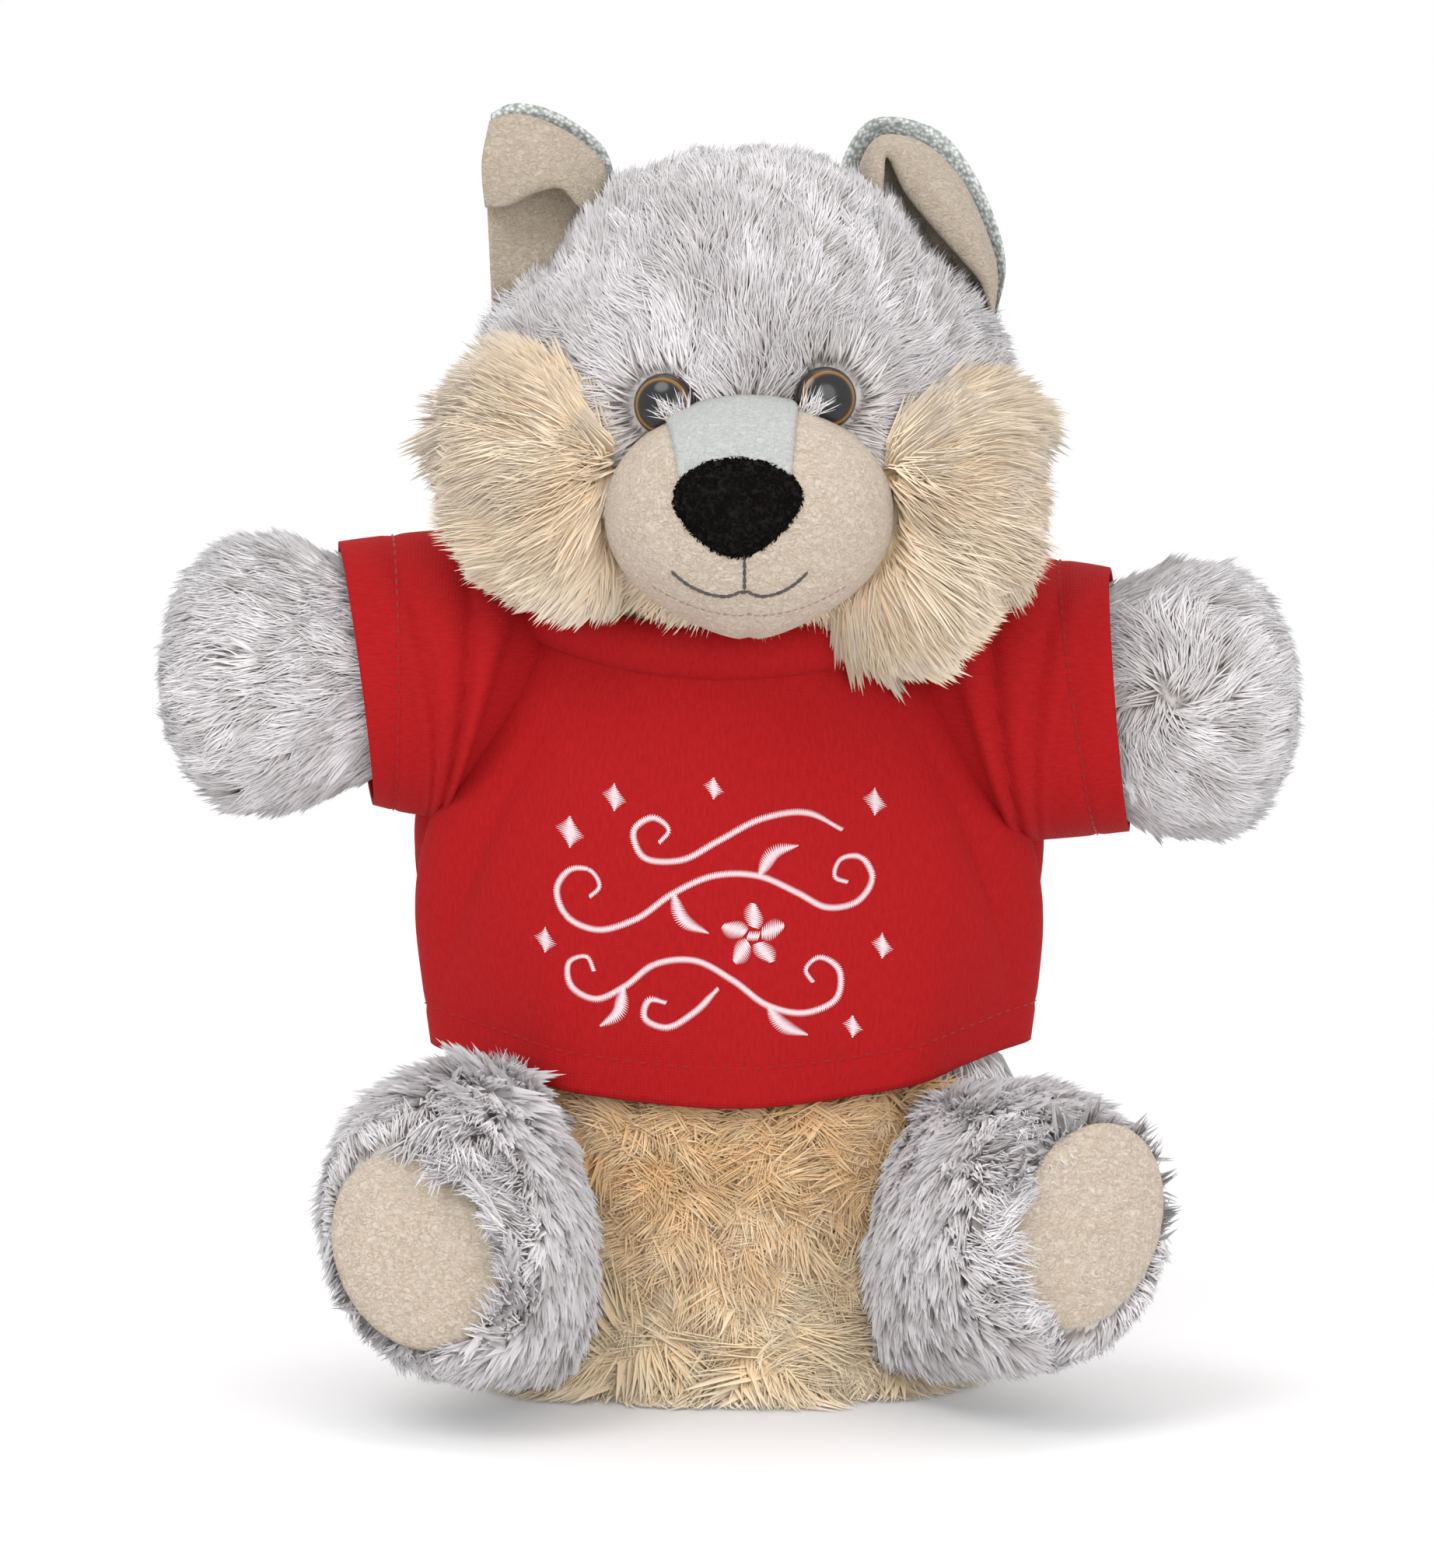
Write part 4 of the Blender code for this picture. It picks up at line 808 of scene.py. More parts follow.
def crown_tone(points):
    """Mottled pile in upright streaks, darker low on the face."""
    streak = waves(points * [1.0, 1.0, 0.45], 9 * MM, 21) + 0.6 * waves(points, 30 * MM, 22)
    low = np.clip((196 * MM - points[:, 2]) / (18 * MM), 0, 1) * (points[:, 1] < 0)
    return 0.3 + 0.3 * streak - 0.18 * low


def crown_length(points):
    """Pile 8 mm long, and longer below the ears, where it stands up in front of them."""
    by_ear = sum(
        high * nearness(points[:, [0, 2]] - np.array(at) * MM, 9 * MM)[:, 0]
        for at, high in (((-44.0, 222.0), 6.5), ((43.0, 222.0), 3.0))
    )
    return (8.2 + waves(points, 20 * MM, 23) + by_ear) * MM


for name, low, high, tufts, seed in (
    ("crown_pile_front", -math.pi * 1.02, math.pi * 0.02, 3400, 41),
    ("crown_pile_back", math.pi * 0.02, math.pi * 0.98, 1200, 42),
):
    pile = grow(
        name, head_point, ((low, high), (-1.1, math.pi / 2 - 0.01)), seed=seed, tufts=tufts, hairs=10,
        spread=1.0 * MM, length=crown_length, thick=0.2 * MM, rise=0.42, flow=crown_flow, wanted=crown_wanted,
        tone=crown_tone, finish=frosted_pile, wobble=0.2, clear=eyes_clear,
    )

# A tuft of longer strands from the seam of the muzzle fans out over the inner corner of each eye.
WISPS = 70
chance = np.random.default_rng(44)
for side, at, first, last in (
    ("left", (-10.6, -39.3, 198.4), 85.0, 172.0),
    ("right", (14.4, -39.5, 199.0), 15.0, 95.0),
):
    root = np.array(at) * MM + chance.normal(0, 1.0, (WISPS, 3)) * [1.3 * MM, 0.2 * MM, 0.6 * MM]
    angle = np.radians(chance.uniform(first, last, WISPS))
    way = np.stack([np.cos(angle), 0 * angle, np.sin(angle)], -1)
    tip = root + way * chance.uniform(3.0, 6.4, (WISPS, 1)) * MM
    bend = (root + tip) / 2 - [0.0, 0.6 * MM, 0.0]
    up = np.broadcast_to([0.0, -1.0, 0.0], root.shape)
    shade = chance.uniform(0.3, 0.85, WISPS)
    wisps = strands("eye_wisps_" + side, root, bend, tip, up, 0.09 * MM, shade, frosted_pile)

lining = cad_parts["finger_pocket_lining"]
cotton, tree, shader = start_material("white_cotton_lining", Roughness=0.85)
place = add(tree, "TexCoord").outputs["Object"]
threads = add(tree, "TexWave", {"Vector": place, "Scale": 0.31 / (0.8 * MM)}, bands_direction="Z")
tint = add(tree, "ValToRGB", {"Fac": threads.outputs["Fac"]}, stops=[(0.2, "#CFCBC4"), (0.8, "#EFECE6")])
relief = add(tree, "Bump", {"Height": threads.outputs["Fac"], "Strength": 0.5, "Distance": 0.15 * MM})
wire(tree, shader, tint, relief)
lining.data.materials.clear()
lining.data.materials.append(cotton)

# Muzzle: a small stuffed ball of beige velour, seamed under the chin, with a strip of pale grey velour laid
# over its bridge from the nose back to the forehead.
CHIN_DROP = 2.2 * MM
BRIDGE_X = (-12.3 * MM, 12.0 * MM)
BRIDGE_TURNS = np.radians([22.0, 100.0])
BRIDGE_WALL = 0.9 * MM
BRIDGE_CORNER = math.radians(24.0)


def muzzle_point(x_share, turn, out=0.0):
    """The muzzle by its place across (-1 to 1) and its turn over the front: a ball drawn down at the
    chin."""
    rest = np.sqrt(np.clip(1 - x_share ** 2, 0, 1))
    half = MUZZLE_HALF + out
    y, z = -half[1] * rest * np.cos(turn), half[2] * rest * np.sin(turn)
    x, y, z = np.broadcast_arrays(half[0] * x_share, y, z)
    low = np.clip(-z / MUZZLE_HALF[2], 0, 1)
    z = z - CHIN_DROP * low ** 2 * np.exp(-(x / (0.4 * MUZZLE_HALF[0])) ** 2)
    seam = np.exp(-(x / (0.9 * MM)) ** 2) * np.clip((low - 0.62) / 0.15, 0, 1)
    y, z = y + 0.5 * MM * seam * np.cos(turn), z - 0.5 * MM * seam * np.sin(turn)
    return MUZZLE_AT + np.stack([x, y, z], -1)


def muzzle_ball(polar, turn, out=0.0):
    """The same ball by rings about the Y axis, for a mesh with its poles at the nose and in the head."""
    x_share = np.sin(polar) * np.cos(turn)
    return muzzle_point(x_share, np.arctan2(np.sin(polar) * np.sin(turn), np.cos(polar) + 0 * turn), out)


columns = np.linspace(0, math.tau, 97)[:-1]
rings = muzzle_ball(np.radians(np.linspace(172.0, 3.0, 52))[:, None], columns[None, :])
muzzle = stuffed("velour_muzzle", rings[:, ::-1], (120 * MM, 90 * MM), beige_velour)
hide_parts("muzzle")

grey_velour = velour("pale_grey_velour", "#ADB0AE", "#B7B9B7", "#C2C4C2")
across = np.linspace(BRIDGE_X[0], BRIDGE_X[1], 40) - MUZZLE_AT[0]
climb = np.linspace(0, 1, 36)[:, None]
corner = np.abs(np.linspace(-1, 1, 40)) ** 4
turns = BRIDGE_TURNS[0] + climb * (BRIDGE_TURNS[1] - BRIDGE_CORNER * corner - BRIDGE_TURNS[0])
flare = 0.88 + 0.17 * climb
edge = np.minimum(1.0, (np.minimum(across - across[0], across[-1] - across) + 0.15 * MM) / (1.0 * MM)) ** 0.5
skin = muzzle_point(across / MUZZLE_HALF[0] * flare, turns)
outside = skin + unit(skin - MUZZLE_AT) * (0.3 * MM + BRIDGE_WALL * edge)[None, :, None]
inside = skin - 0.4 * MM * unit(outside - MUZZLE_AT)
bridge = cloth("velour_bridge", outside, inside, False, (25 * MM, 32 * MM), grey_velour)
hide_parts("muzzle_bridge")

# Nose and mouth: the nose is a cap of black fleece with a short fuzzy nap, sewn on the front of the muzzle.
# The mouth is dark grey thread, stitched as a short upright under the nose and a smile.
NOSE_AT = np.array([0.9, -57.5, 182.2]) * MM
NOSE_HALF = np.array([12.6, 8.5, 10.2]) * MM
FLEECE_BLACK, FLEECE_GREY = "#0C0A0A", "#231F1F"
MOUTH_X = 2.0 * MM


def nose_point(polar, turn, out=0.0):
    """The nose: a ball about the Y axis, a little wider above than below."""
    high = np.sin(turn)
    wide = 1.0 + np.where(high > 0, 0.05, 0.24) * high
    x, z = np.sin(polar) * np.cos(turn) * wide, np.sin(polar) * high * np.where(high > 0, 0.87, 1.07)
    return NOSE_AT + np.stack(np.broadcast_arrays(x, -np.cos(polar) + 0 * turn, z), -1) * (NOSE_HALF + out)


fleece, tree, shader = start_material("black_fleece", Roughness=0.95, Specular_IOR_Level=0.1)
place = add(tree, "TexCoord").outputs["Object"]
curl = add(tree, "TexNoise", {"Vector": place, "Scale": 1 / (1.1 * MM), "Detail": 4.0})
tint = add(tree, "ValToRGB", {"Fac": curl.outputs["Fac"]}, stops=[(0.35, FLEECE_BLACK), (0.75, FLEECE_GREY)])
relief = add(tree, "Bump", {"Height": curl.outputs["Fac"], "Strength": 0.8, "Distance": 0.4 * MM})
wire(tree, shader, tint, relief)
columns = np.linspace(0, math.tau, 73)[:-1]
rings = nose_point(np.radians(np.linspace(97.0, 4.0, 30))[:, None], columns[None, ::-1])
nose = stuffed("fleece_nose", rings, (60 * MM, 20 * MM), fleece)
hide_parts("nose")

nap_dark, nap_pale = ((0.0, "#0A0909"), (1.0, "#161212")), ((0.0, "#0E0C0C"), (1.0, "#1B1716"))
fleece_nap = pile_material("black_fleece_nap", nap_dark, nap_pale, sheen=0.0)
nose_nap = grow(
    "nose_nap", lambda turn, polar: nose_point(polar, -turn), ((0, math.tau), (0.05, math.radians(96.0))),
    seed=51, tufts=800, hairs=3, spread=0.7 * MM, length=lambda at: np.full(len(at), 1.2 * MM),
    thick=0.13 * MM, rise=0.35, flow=lambda at: unit(at - NOSE_AT) + [0, 0, -0.3],
    wanted=lambda at, face: np.ones(len(at)), tone=lambda at: np.full(len(at), 0.5), finish=fleece_nap,
    wobble=0.9,
)


def stitches(name, path, face, pitch, thick, finish, over=1.25, rings=2, arch=0.3 * MM):
    """A row of stitches on a path, one pitch apart. Each is over times as long as the pitch, and arched."""
    steps = np.linalg.norm(np.diff(path, axis=0), axis=1)
    place = np.concatenate([[0.0], np.cumsum(steps)])
    count = max(int(place[-1] / pitch), 1)
    middles = (np.arange(count) + 0.5) * place[-1] / count
    ends = [
        np.stack([np.interp(middles + way * over * pitch / 2, place, path[:, axis]) for axis in range(3)], -1)
        for way in (-1, 1)
    ]
    up = unit(np.stack([np.interp(middles, place, face[:, axis]) for axis in range(3)], -1))
    middle = (ends[0] + ends[1]) / 2 + arch * up
    shade = 0.5 + 0.3 * np.sin(np.arange(count) * 2.4)
    return strands(name, ends[0], middle, ends[1], up, thick, shade, finish, rings, tail=0.1 * MM)


def on_muzzle(x, z):
    """The front of the muzzle at x and z, and the way that it faces."""
    x_share = (x - MUZZLE_AT[0]) / MUZZLE_HALF[0]
    rest = np.sqrt(1 - x_share ** 2)
    drop = CHIN_DROP * np.clip((MUZZLE_AT[2] - z) / MUZZLE_HALF[2], 0, 1) ** 2 * np.exp(-(x_share / 0.4) ** 2)
    turn = np.arcsin(np.clip((z + drop - MUZZLE_AT[2]) / (MUZZLE_HALF[2] * rest), -1, 1))
    point = muzzle_point(x_share, turn)
    return point, unit((point - MUZZLE_AT) / MUZZLE_HALF ** 2)


mouth_thread = thread("grey_mouth_thread", "#4A4543", "#5B5553")
share = np.linspace(-1, 1, 80)
smile_x = MOUTH_X + np.where(share < 0, 14.1, 12.3) * share * MM
smile_z = 163.9 * MM + 5.2 * MM * np.abs(share) ** 2.8 + 1.5 * MM * np.exp(-(share / 0.13) ** 2)
upright_z = np.linspace(165.4 * MM, 172.8 * MM, 20)
for name, x, z in (("mouth_smile", smile_x, smile_z), ("mouth_upright", upright_z * 0 + MOUTH_X, upright_z)):
    path, face = on_muzzle(x, z)
    mouth = stitches(
        name, path + 0.12 * MM * face, face, pitch=1.5 * MM, thick=0.48 * MM, finish=mouth_thread, over=1.5,
        arch=0.1 * MM,
    )

seam_thread = thread("beige_seam_thread", "#8F7D6A", "#A5917C")
path, face = on_muzzle(MUZZLE_AT[0] + 19 * MM * share, 160.0 * MM + 6.0 * MM * share ** 2)
chin_seam = stitches(
    "chin_seam", path + 0.05 * MM * face, face, pitch=1.5 * MM, thick=0.2 * MM, finish=seam_thread, over=0.8,
    arch=0.1 * MM,
)

# Eyes: 12 mm safety eyes, moulded in clear plastic over a dark pupil and a painted amber ring, with a dark
# brown rim. The stem goes through the plush and is locked inside by a white nylon washer.
EYE_DOME, EYE_RIM, EYE_BEVEL, EYE_SUNK = 3.4 * MM, 1.6 * MM, 0.4 * MM, 1.0 * MM
STEM_RADIUS, STEM_LENGTH = 1.6 * MM, 9.0 * MM
PUPIL, AMBER, RIM_BROWN = "#1A191C", "#7C5728", "#2A1E18"

plastic, tree, shader = start_material("moulded_eye_plastic", Roughness=0.16, IOR=1.49)
place = add(tree, "UVMap", uv_map="cut")
radius = add(tree, "SeparateXYZ", {"Vector": place.outputs["UV"]})
tint = add(tree, "ValToRGB", {"Fac": radius.outputs["Y"]}, stops=[
    (0.0, PUPIL), (0.70, PUPIL), (0.76, "#33251A"), (0.80, AMBER), (0.86, "#8E672F"),
    (0.885, RIM_BROWN), (1.0, RIM_BROWN),
])
tree.links.new(tint.outputs["Color"], shader.inputs["Base Color"])
for side in ("left", "right"):
    spot = (EYE_AT[side] - HEAD_AT[[0, 2]]) / HEAD_HALF[[0, 2]]
    ahead = math.sqrt(1 - spot @ spot)
    surface = np.array([EYE_AT[side][0], HEAD_AT[1] - HEAD_HALF[1] * ahead, EYE_AT[side][1]])
    facing = unit(np.array([spot[0] / HEAD_HALF[0], -ahead / HEAD_HALF[1], spot[1] / HEAD_HALF[2]]))
    across_way = unit(np.cross([0.0, 0.0, 1.0], facing))
    up_way = np.cross(facing, across_way)
    angles = np.radians(np.linspace(3.0, 90.0, 26))[::-1]
    radii = [STEM_RADIUS, STEM_RADIUS, EYE_RADIUS - EYE_BEVEL, EYE_RADIUS]
    radii = np.concatenate([radii, EYE_RADIUS * np.sin(angles)])
    heights = [-EYE_RIM - STEM_LENGTH, -EYE_RIM, -EYE_RIM, -EYE_RIM + EYE_BEVEL]
    heights = np.concatenate([heights, EYE_DOME * np.cos(angles)])
    columns = np.linspace(0, math.tau, 65)[:-1]
    out_way = np.cos(columns)[:, None] * across_way + np.sin(columns)[:, None] * up_way
    rings = surface - facing * EYE_SUNK + heights[:, None, None] * facing + radii[:, None, None] * out_way
    eye = stuffed("domed_eye_" + side, rings, (1.0, 1.0), plastic)
    corner = np.array([loop.vertex_index for loop in eye.data.loops])
    reach = np.concatenate([np.repeat(radii / EYE_RADIUS, 64), [0.2, 0.0]])
    spin = np.concatenate([np.tile(columns / math.tau, len(radii)), [0.5, 0.5]])
    spots = np.stack([spin[corner], reach[corner]], -1).astype(np.float32)
    eye.data.uv_layers["cut"].data.foreach_set("uv", spots.ravel())
    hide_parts("eye_" + side)

nylon, tree, shader = start_material("white_nylon", Roughness=0.45, IOR=1.53, Subsurface_Weight=0.1)
place = add(tree, "TexCoord").outputs["Object"]
cloudy = add(tree, "TexNoise", {"Vector": place, "Scale": 1 / (2 * MM)})
tint = add(tree, "ValToRGB", {"Fac": cloudy.outputs["Fac"]}, stops=[(0.3, "#DEDDD8"), (0.7, "#F2F1EE")])
tree.links.new(tint.outputs["Color"], shader.inputs["Base Color"])
for side in ("left", "right"):
    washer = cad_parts["eye_washer_" + side]
    washer.data.materials.clear()
    washer.data.materials.append(nylon)

# Cheek ruffs: two wads of long cream plush, sewn to the sides of the head from the eyes to under the chin.
# Their pile is up to 22 mm long, radiates from the muzzle and hangs over the neckband in pointed locks.
PILE_ON_CHEEK = 8.0 * MM
CREAM_DARK = ((0.0, "#EAC290"), (0.45, "#F8D6AA"), (1.0, "#FFE5C2"))
CREAM_PALE = ((0.0, "#FBDDB4"), (0.45, "#FFE8CA"), (1.0, "#FFF0DC"))
RUFF_FROM = np.array([3.0, -40.0, 192.0]) * MM

cream_pile = pile_material("long_cream_pile", CREAM_DARK, CREAM_PALE)
cheek_cloth = backing_cloth("cheek_cloth", "#F0D9B2")


def cheek_point(side, turn, rise):
    """The wad of a cheek: a ball with three half sizes, tilted about Y."""
    own = ball_way(turn, rise) * (CHEEK_HALF[side] - PILE_ON_CHEEK)
    return turned(own, CHEEK_AT[side], (0.0, CHEEK_TILT[side], 0.0))


def cheek_wanted(at, face):
    """Pile grows where the wad is free of the head and the muzzle."""
    free = in_ball(at, HEAD_AT, HEAD_HALF - PILE_ON_HEAD - 1 * MM) > 1
    free &= in_ball(at, MUZZLE_AT, MUZZLE_HALF) > 1
    return free * np.where(at[:, 1] < 8 * MM, 1.0, 0.5)


def ruff_length(at):
    """Pile about 15 mm long, in locks of unlike length."""
    return 15.0 * MM + 3.0 * MM * waves(at, 16 * MM, 31)


def ruff_tone(at):
    return 0.72 + 0.3 * waves(at, 15 * MM, 32)


for side in ("left", "right"):
    columns = np.linspace(0, math.tau, 49)[:-1]
    rings = cheek_point(side, columns[None, :], np.radians(np.linspace(-86.0, 86.0, 28))[:, None])
    wad = stuffed("cheek_wad_" + side, rings, (150 * MM, 80 * MM), cheek_cloth)
    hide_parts("cheek_" + side)

    def below(at):
        """How far below the middle of the wad a place is, from 0 to 1."""
        return np.clip((CHEEK_AT[side][2] - at[:, 2]) / (20 * MM), 0, 1)

    ruff = grow(
        "ruff_" + side, lambda turn, rise: cheek_point(side, turn, rise), ((0, math.tau), (-1.45, 1.45)),
        seed=60 + len(side), tufts=1300, hairs=18, spread=1.7 * MM,
        length=lambda at: ruff_length(at) - 2.5 * MM * below(at), thick=0.17 * MM, rise=0.29,
        flow=lambda at: unit(at - RUFF_FROM) + [0.0, 0.05, -0.08], wanted=cheek_wanted, tone=ruff_tone,
        finish=cream_pile, gather=0.5, wobble=0.16, lift_to=LOW_LIFT,
    )

# Under the chin, the two ruffs meet in a strip of the same cream plush that falls over the neckband.
chin_ruff = grow(
    "ruff_under_chin", head_point, ((-2.8, -0.5), (-1.38, -0.42)), seed=66, tufts=560, hairs=14,
    spread=1.5 * MM, length=lambda at: np.full(len(at), 16 * MM), thick=0.18 * MM, rise=0.45,
    flow=lambda at: unit(at - MUZZLE_AT) * [0.8, 1.0, 0.5] - [0.0, 0.3, 0.8],
    wanted=lambda at, face: (at[:, 1] < 5 * MM) & (at[:, 2] < 181 * MM), tone=ruff_tone,
    finish=cream_pile, gather=0.62, wobble=0.25, lift_to=LOW_LIFT,
)

# Ears: each is a leaf of beige velour in front and grey heathered tweed behind, sewn edge to edge, so that
# a rim of the tweed shows. Each is folded over itself: a lip of velour hangs over a deep crease, and the
# base goes down into the fur. Rows run from the base by way of the crease, the lip and the middle to the
# rim, and columns left to right.
EAR_ROWS = {
    "left": np.array([
        [(-49.0, 12, 222.1), (-44.7, 12, 223.7), (-40.0, 11, 228.4),
         (-36.0, 10, 231.6), (-32.1, 10, 233.6), (-28.1, 10, 235.5)],
        [(-50.2, 12, 242.1), (-45.5, 13, 243.1), (-40.0, 14, 245.6),
         (-35.2, 14, 245.9), (-31.8, 13, 242.5), (-28.0, 12, 239.3)],
        [(-50.4, 7, 240.9), (-45.5, 5, 241.2), (-40.0, 4, 243.7),
         (-34.9, 4, 244.5), (-31.3, 5, 240.9), (-27.3, 6, 238.2)],
        [(-51.0, 6, 249.7), (-46.0, 4, 250.5), (-40.0, 3.5, 251.3),
         (-34.4, 4, 249.4), (-28.6, 6, 245.8), (-25.6, 7.5, 242.1)],
        [(-49.5, 8, 258.3), (-45.2, 8, 259.7), (-39.2, 8, 258.7),
         (-32.9, 8.5, 255.6), (-27.0, 9, 250.7), (-24.6, 10, 244.2)],
    ]) * MM,
    "right": np.array([
        [(30.8, 12, 235.5), (31.8, 14, 237.9), (33.0, 16, 240.2), (35.1, 17, 236.3),
         (39.3, 17, 230.0), (43.8, 15, 222.1), (47.7, 13, 217.8), (52.0, 12, 215.8)],
        [(28.9, 11, 239.9), (29.4, 12, 246.9), (31.1, 13, 252.3), (36.2, 15, 245.0),
         (42.7, 15, 236.9), (48.2, 14, 230.8), (51.2, 12, 226.0), (52.3, 11, 219.2)],
        [(30.2, 5, 239.1), (30.5, 4, 246.9), (31.3, 7, 250.8), (34.9, 6, 243.7),
         (41.4, 5, 235.7), (46.9, 5, 229.5), (50.4, 6, 225.1), (52.0, 9, 218.9)],
        [(28.0, 4, 239.9), (27.8, 4, 247.8), (30.7, 6, 253.5), (37.1, 5, 249.7),
         (44.1, 4, 241.5), (49.5, 4, 233.6), (52.0, 5, 226.7), (52.6, 8, 218.9)],
        [(25.8, 8, 241.5), (25.4, 8, 248.9), (29.9, 9, 255.4), (39.0, 10, 253.8),
         (46.6, 10, 246.3), (51.7, 10, 235.8), (53.9, 10, 227.6), (53.2, 10, 218.9)],
    ]) * MM,
}
EAR_WALL = 1.6 * MM
EAR_BACK_AWAY = np.array([4.0, 4.0, 2.0]) * MM
EAR_SUNK = 7.0 * MM
EAR_RIM = {"left": 2.6 * MM, "right": 3.8 * MM}
EAR_RIM_SPAN = {"left": (0.5, 2.4), "right": (0.8, 3.1)}

# The ears' velour is the beige velour of the muzzle and soles made darker: painted shade on the cupped ears.
shaded_ear_velour = velour("beige_ear_velour", "#A59683", "#B3A594", "#BEB3A4")
tweed, tree, shader = start_material("grey_tweed", Roughness=0.9, Specular_IOR_Level=0.2)
place = add(tree, "TexCoord").outputs["Object"]
yarn = add(tree, "TexVoronoi", {"Vector": place, "Scale": 1 / (0.9 * MM)})
tint = add(tree, "ValToRGB", {"Fac": yarn.outputs["Distance"]},
           stops=[(0.1, "#F2F4F2"), (0.4, "#CDD1CE"), (0.75, "#9AA09D")])
loops = {"Height": yarn.outputs["Distance"], "Strength": 0.7, "Distance": 0.3 * MM}
relief = add(tree, "Bump", loops, invert=True)
wire(tree, shader, tint, relief)


def patch(grid, rows, columns):
    """A smooth surface through a grid of points: a curve through each row, and then curves up through
    those."""
    high, wide = grid.shape[:2]
    table = np.column_stack([np.arange(wide), grid.transpose(1, 0, 2).reshape(wide, -1)])
    across = along_profile(table, np.linspace(0, wide - 1, columns)).reshape(high, -1)
    table = np.column_stack([np.arange(high), across])
    return along_profile(table, np.linspace(0, high - 1, rows)).reshape(3, columns, rows).transpose(2, 1, 0)


for side in ("left", "right"):
    folded = EAR_ROWS[side]
    folded[0, :, 2] -= EAR_SUNK
    behind = folded[[0, 1, 4]] + EAR_BACK_AWAY[:, None, None] * [0.0, 1.0, 0.0]
    rim_way = unit((folded[4] - folded[3]) * [1.0, 0.0, 1.0])
    rim_share = np.sin(np.linspace(*EAR_RIM_SPAN[side], len(rim_way)))[:, None] ** 0.7
    behind[2] += EAR_RIM[side] * rim_share * rim_way
    for name, rows, finish, slot in (
        ("ear_front_", patch(folded, 44, 32), shaded_ear_velour, "beige_velour"),
        ("ear_back_", patch(behind, 20, 32), tweed, "grey_tweed_velour"),
    ):
        other = rows + [0.0, EAR_WALL, 0.0]
        ear = cloth("leaf_" + name + side, rows, other, False, (40 * MM, 40 * MM), finish)
        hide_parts(name + side)

# T-shirt: red cotton jersey, with a front, a back, two raglan sleeves and a folded neckband. The hem and
# the cuffs are turned up and topstitched 8 mm from the edge, and drag folds run from the armpits.
SHIRT_X = -1.0 * MM
SHIRT_PROFILE = np.array([
    (56.0, 55.5, 41.0), (70.0, 58.5, 40.0), (90.0, 60.5, 38.0), (108.0, 60.0, 36.5), (124.0, 58.5, 35.0),
    (138.0, 55.0, 33.8), (149.0, 49.5, 33.0), (158.0, 45.5, 32.5),
]) * MM
SHIRT_WALL, SHIRT_FOLD = 1.2 * MM, 3.4 * MM
HEM_FRONT, HEM_SIDE, HEM_DEEP = 60.0 * MM, 70.0 * MM, 8.0 * MM
NECK_FRONT, NECK_SIDE = 147.0 * MM, 158.0 * MM
JERSEY_RED, JERSEY_DEEP, JERSEY_LIGHT = "#A51418", "#9F1115", "#AB171B"
WALE = 0.62 * MM

jersey, tree, shader = start_material(
    "red_cotton_jersey", Roughness=0.85, Sheen_Weight=0.05, Specular_IOR_Level=0.15,
)
shader.inputs["Sheen Tint"].default_value = linear("#E06060")
place = add(tree, "UVMap", uv_map="cut").outputs["UV"]
drawn = add(tree, "Mapping", {"Vector": place, "Scale": (1.0, 0.25, 1.0)})
fluff = add(tree, "TexNoise", {"Vector": drawn.outputs[0], "Scale": 1 / (0.6 * MM), "Detail": 3.0})
tint = add(tree, "ValToRGB", {"Fac": fluff.outputs["Fac"]},
           stops=[(0.3, JERSEY_DEEP), (0.5, JERSEY_RED), (0.75, JERSEY_LIGHT)])
wale = add(tree, "TexWave", {"Vector": place, "Scale": 0.314 / WALE, "Distortion": 0.8, "Detail Scale": 2.0})
course = add(tree, "TexWave", {"Vector": place, "Scale": 0.314 / WALE}, bands_direction="Y")
knit = add(tree, "Math", {0: wale.outputs["Fac"], 1: course.outputs["Fac"]}, operation="ADD")
relief = add(tree, "Bump", {"Height": knit.outputs[0], "Strength": 0.35, "Distance": 0.12 * MM})
wire(tree, shader, tint, relief)


def shirt_fold(turn, height):
    """Ripples that grow towards the hem, and drags out of the armpits."""
    down = np.clip((128 * MM - height) / (72 * MM), 0, 1)
    side = np.abs(np.sin(turn))
    ripple = (0.5 + 0.5 * np.sin(9 * turn + 1.1 + 0.8 * np.sin(2 * turn))) ** 1.6 * (0.45 + 0.9 * side)
    armpit = np.exp(-((height - 112 * MM) / (24 * MM)) ** 2) * side ** 2
    drag = np.abs(np.sin(6.5 * turn + np.sign(np.sin(turn)) * height / (17 * MM))) ** 0.6
    return SHIRT_FOLD * (0.9 * down * ripple + 1.25 * armpit * drag)


def shirt_point(turn, height, out=0.0):
    """The body of the shirt by its turn from the front and its height, drawn in where the hem is
    stitched."""
    half_width, half_depth = along_profile(SHIRT_PROFILE, height)
    hem_row = np.exp(-((height - hem_height(turn) - HEM_DEEP) / (0.8 * MM)) ** 2)
    stands = shirt_fold(turn, height) + out - 0.35 * MM * hem_row
    x = SHIRT_X + (half_width + stands) * np.sin(turn)
    y = BODY_Y - (half_depth + stands) * np.cos(turn)
    return np.stack([x, y, np.broadcast_to(height, x.shape)], -1)


def shirt_skin(turn, height):
    return shirt_point(turn, height, SHIRT_WALL)


def hem_height(turn):
    return HEM_FRONT + (HEM_SIDE - HEM_FRONT) * np.sin(turn) ** 2


def neck_height(turn):
    return NECK_SIDE - (NECK_SIDE - NECK_FRONT) * np.maximum(np.cos(turn), 0) ** 2


def shirt_panel(name, first, last, columns):
    turns = np.linspace(first, last, columns)[None, :]
    share = np.linspace(0, 1, 60)[:, None]
    heights = hem_height(turns) + (neck_height(turns) + 1.0 * MM - hem_height(turns)) * share
    outside, inside = (shirt_point(turns, heights, out) for out in (SHIRT_WALL, 0.0))
    flat = laid_flat(outside)
    panel = cloth(name, outside, inside, False, flat, jersey)
    return panel


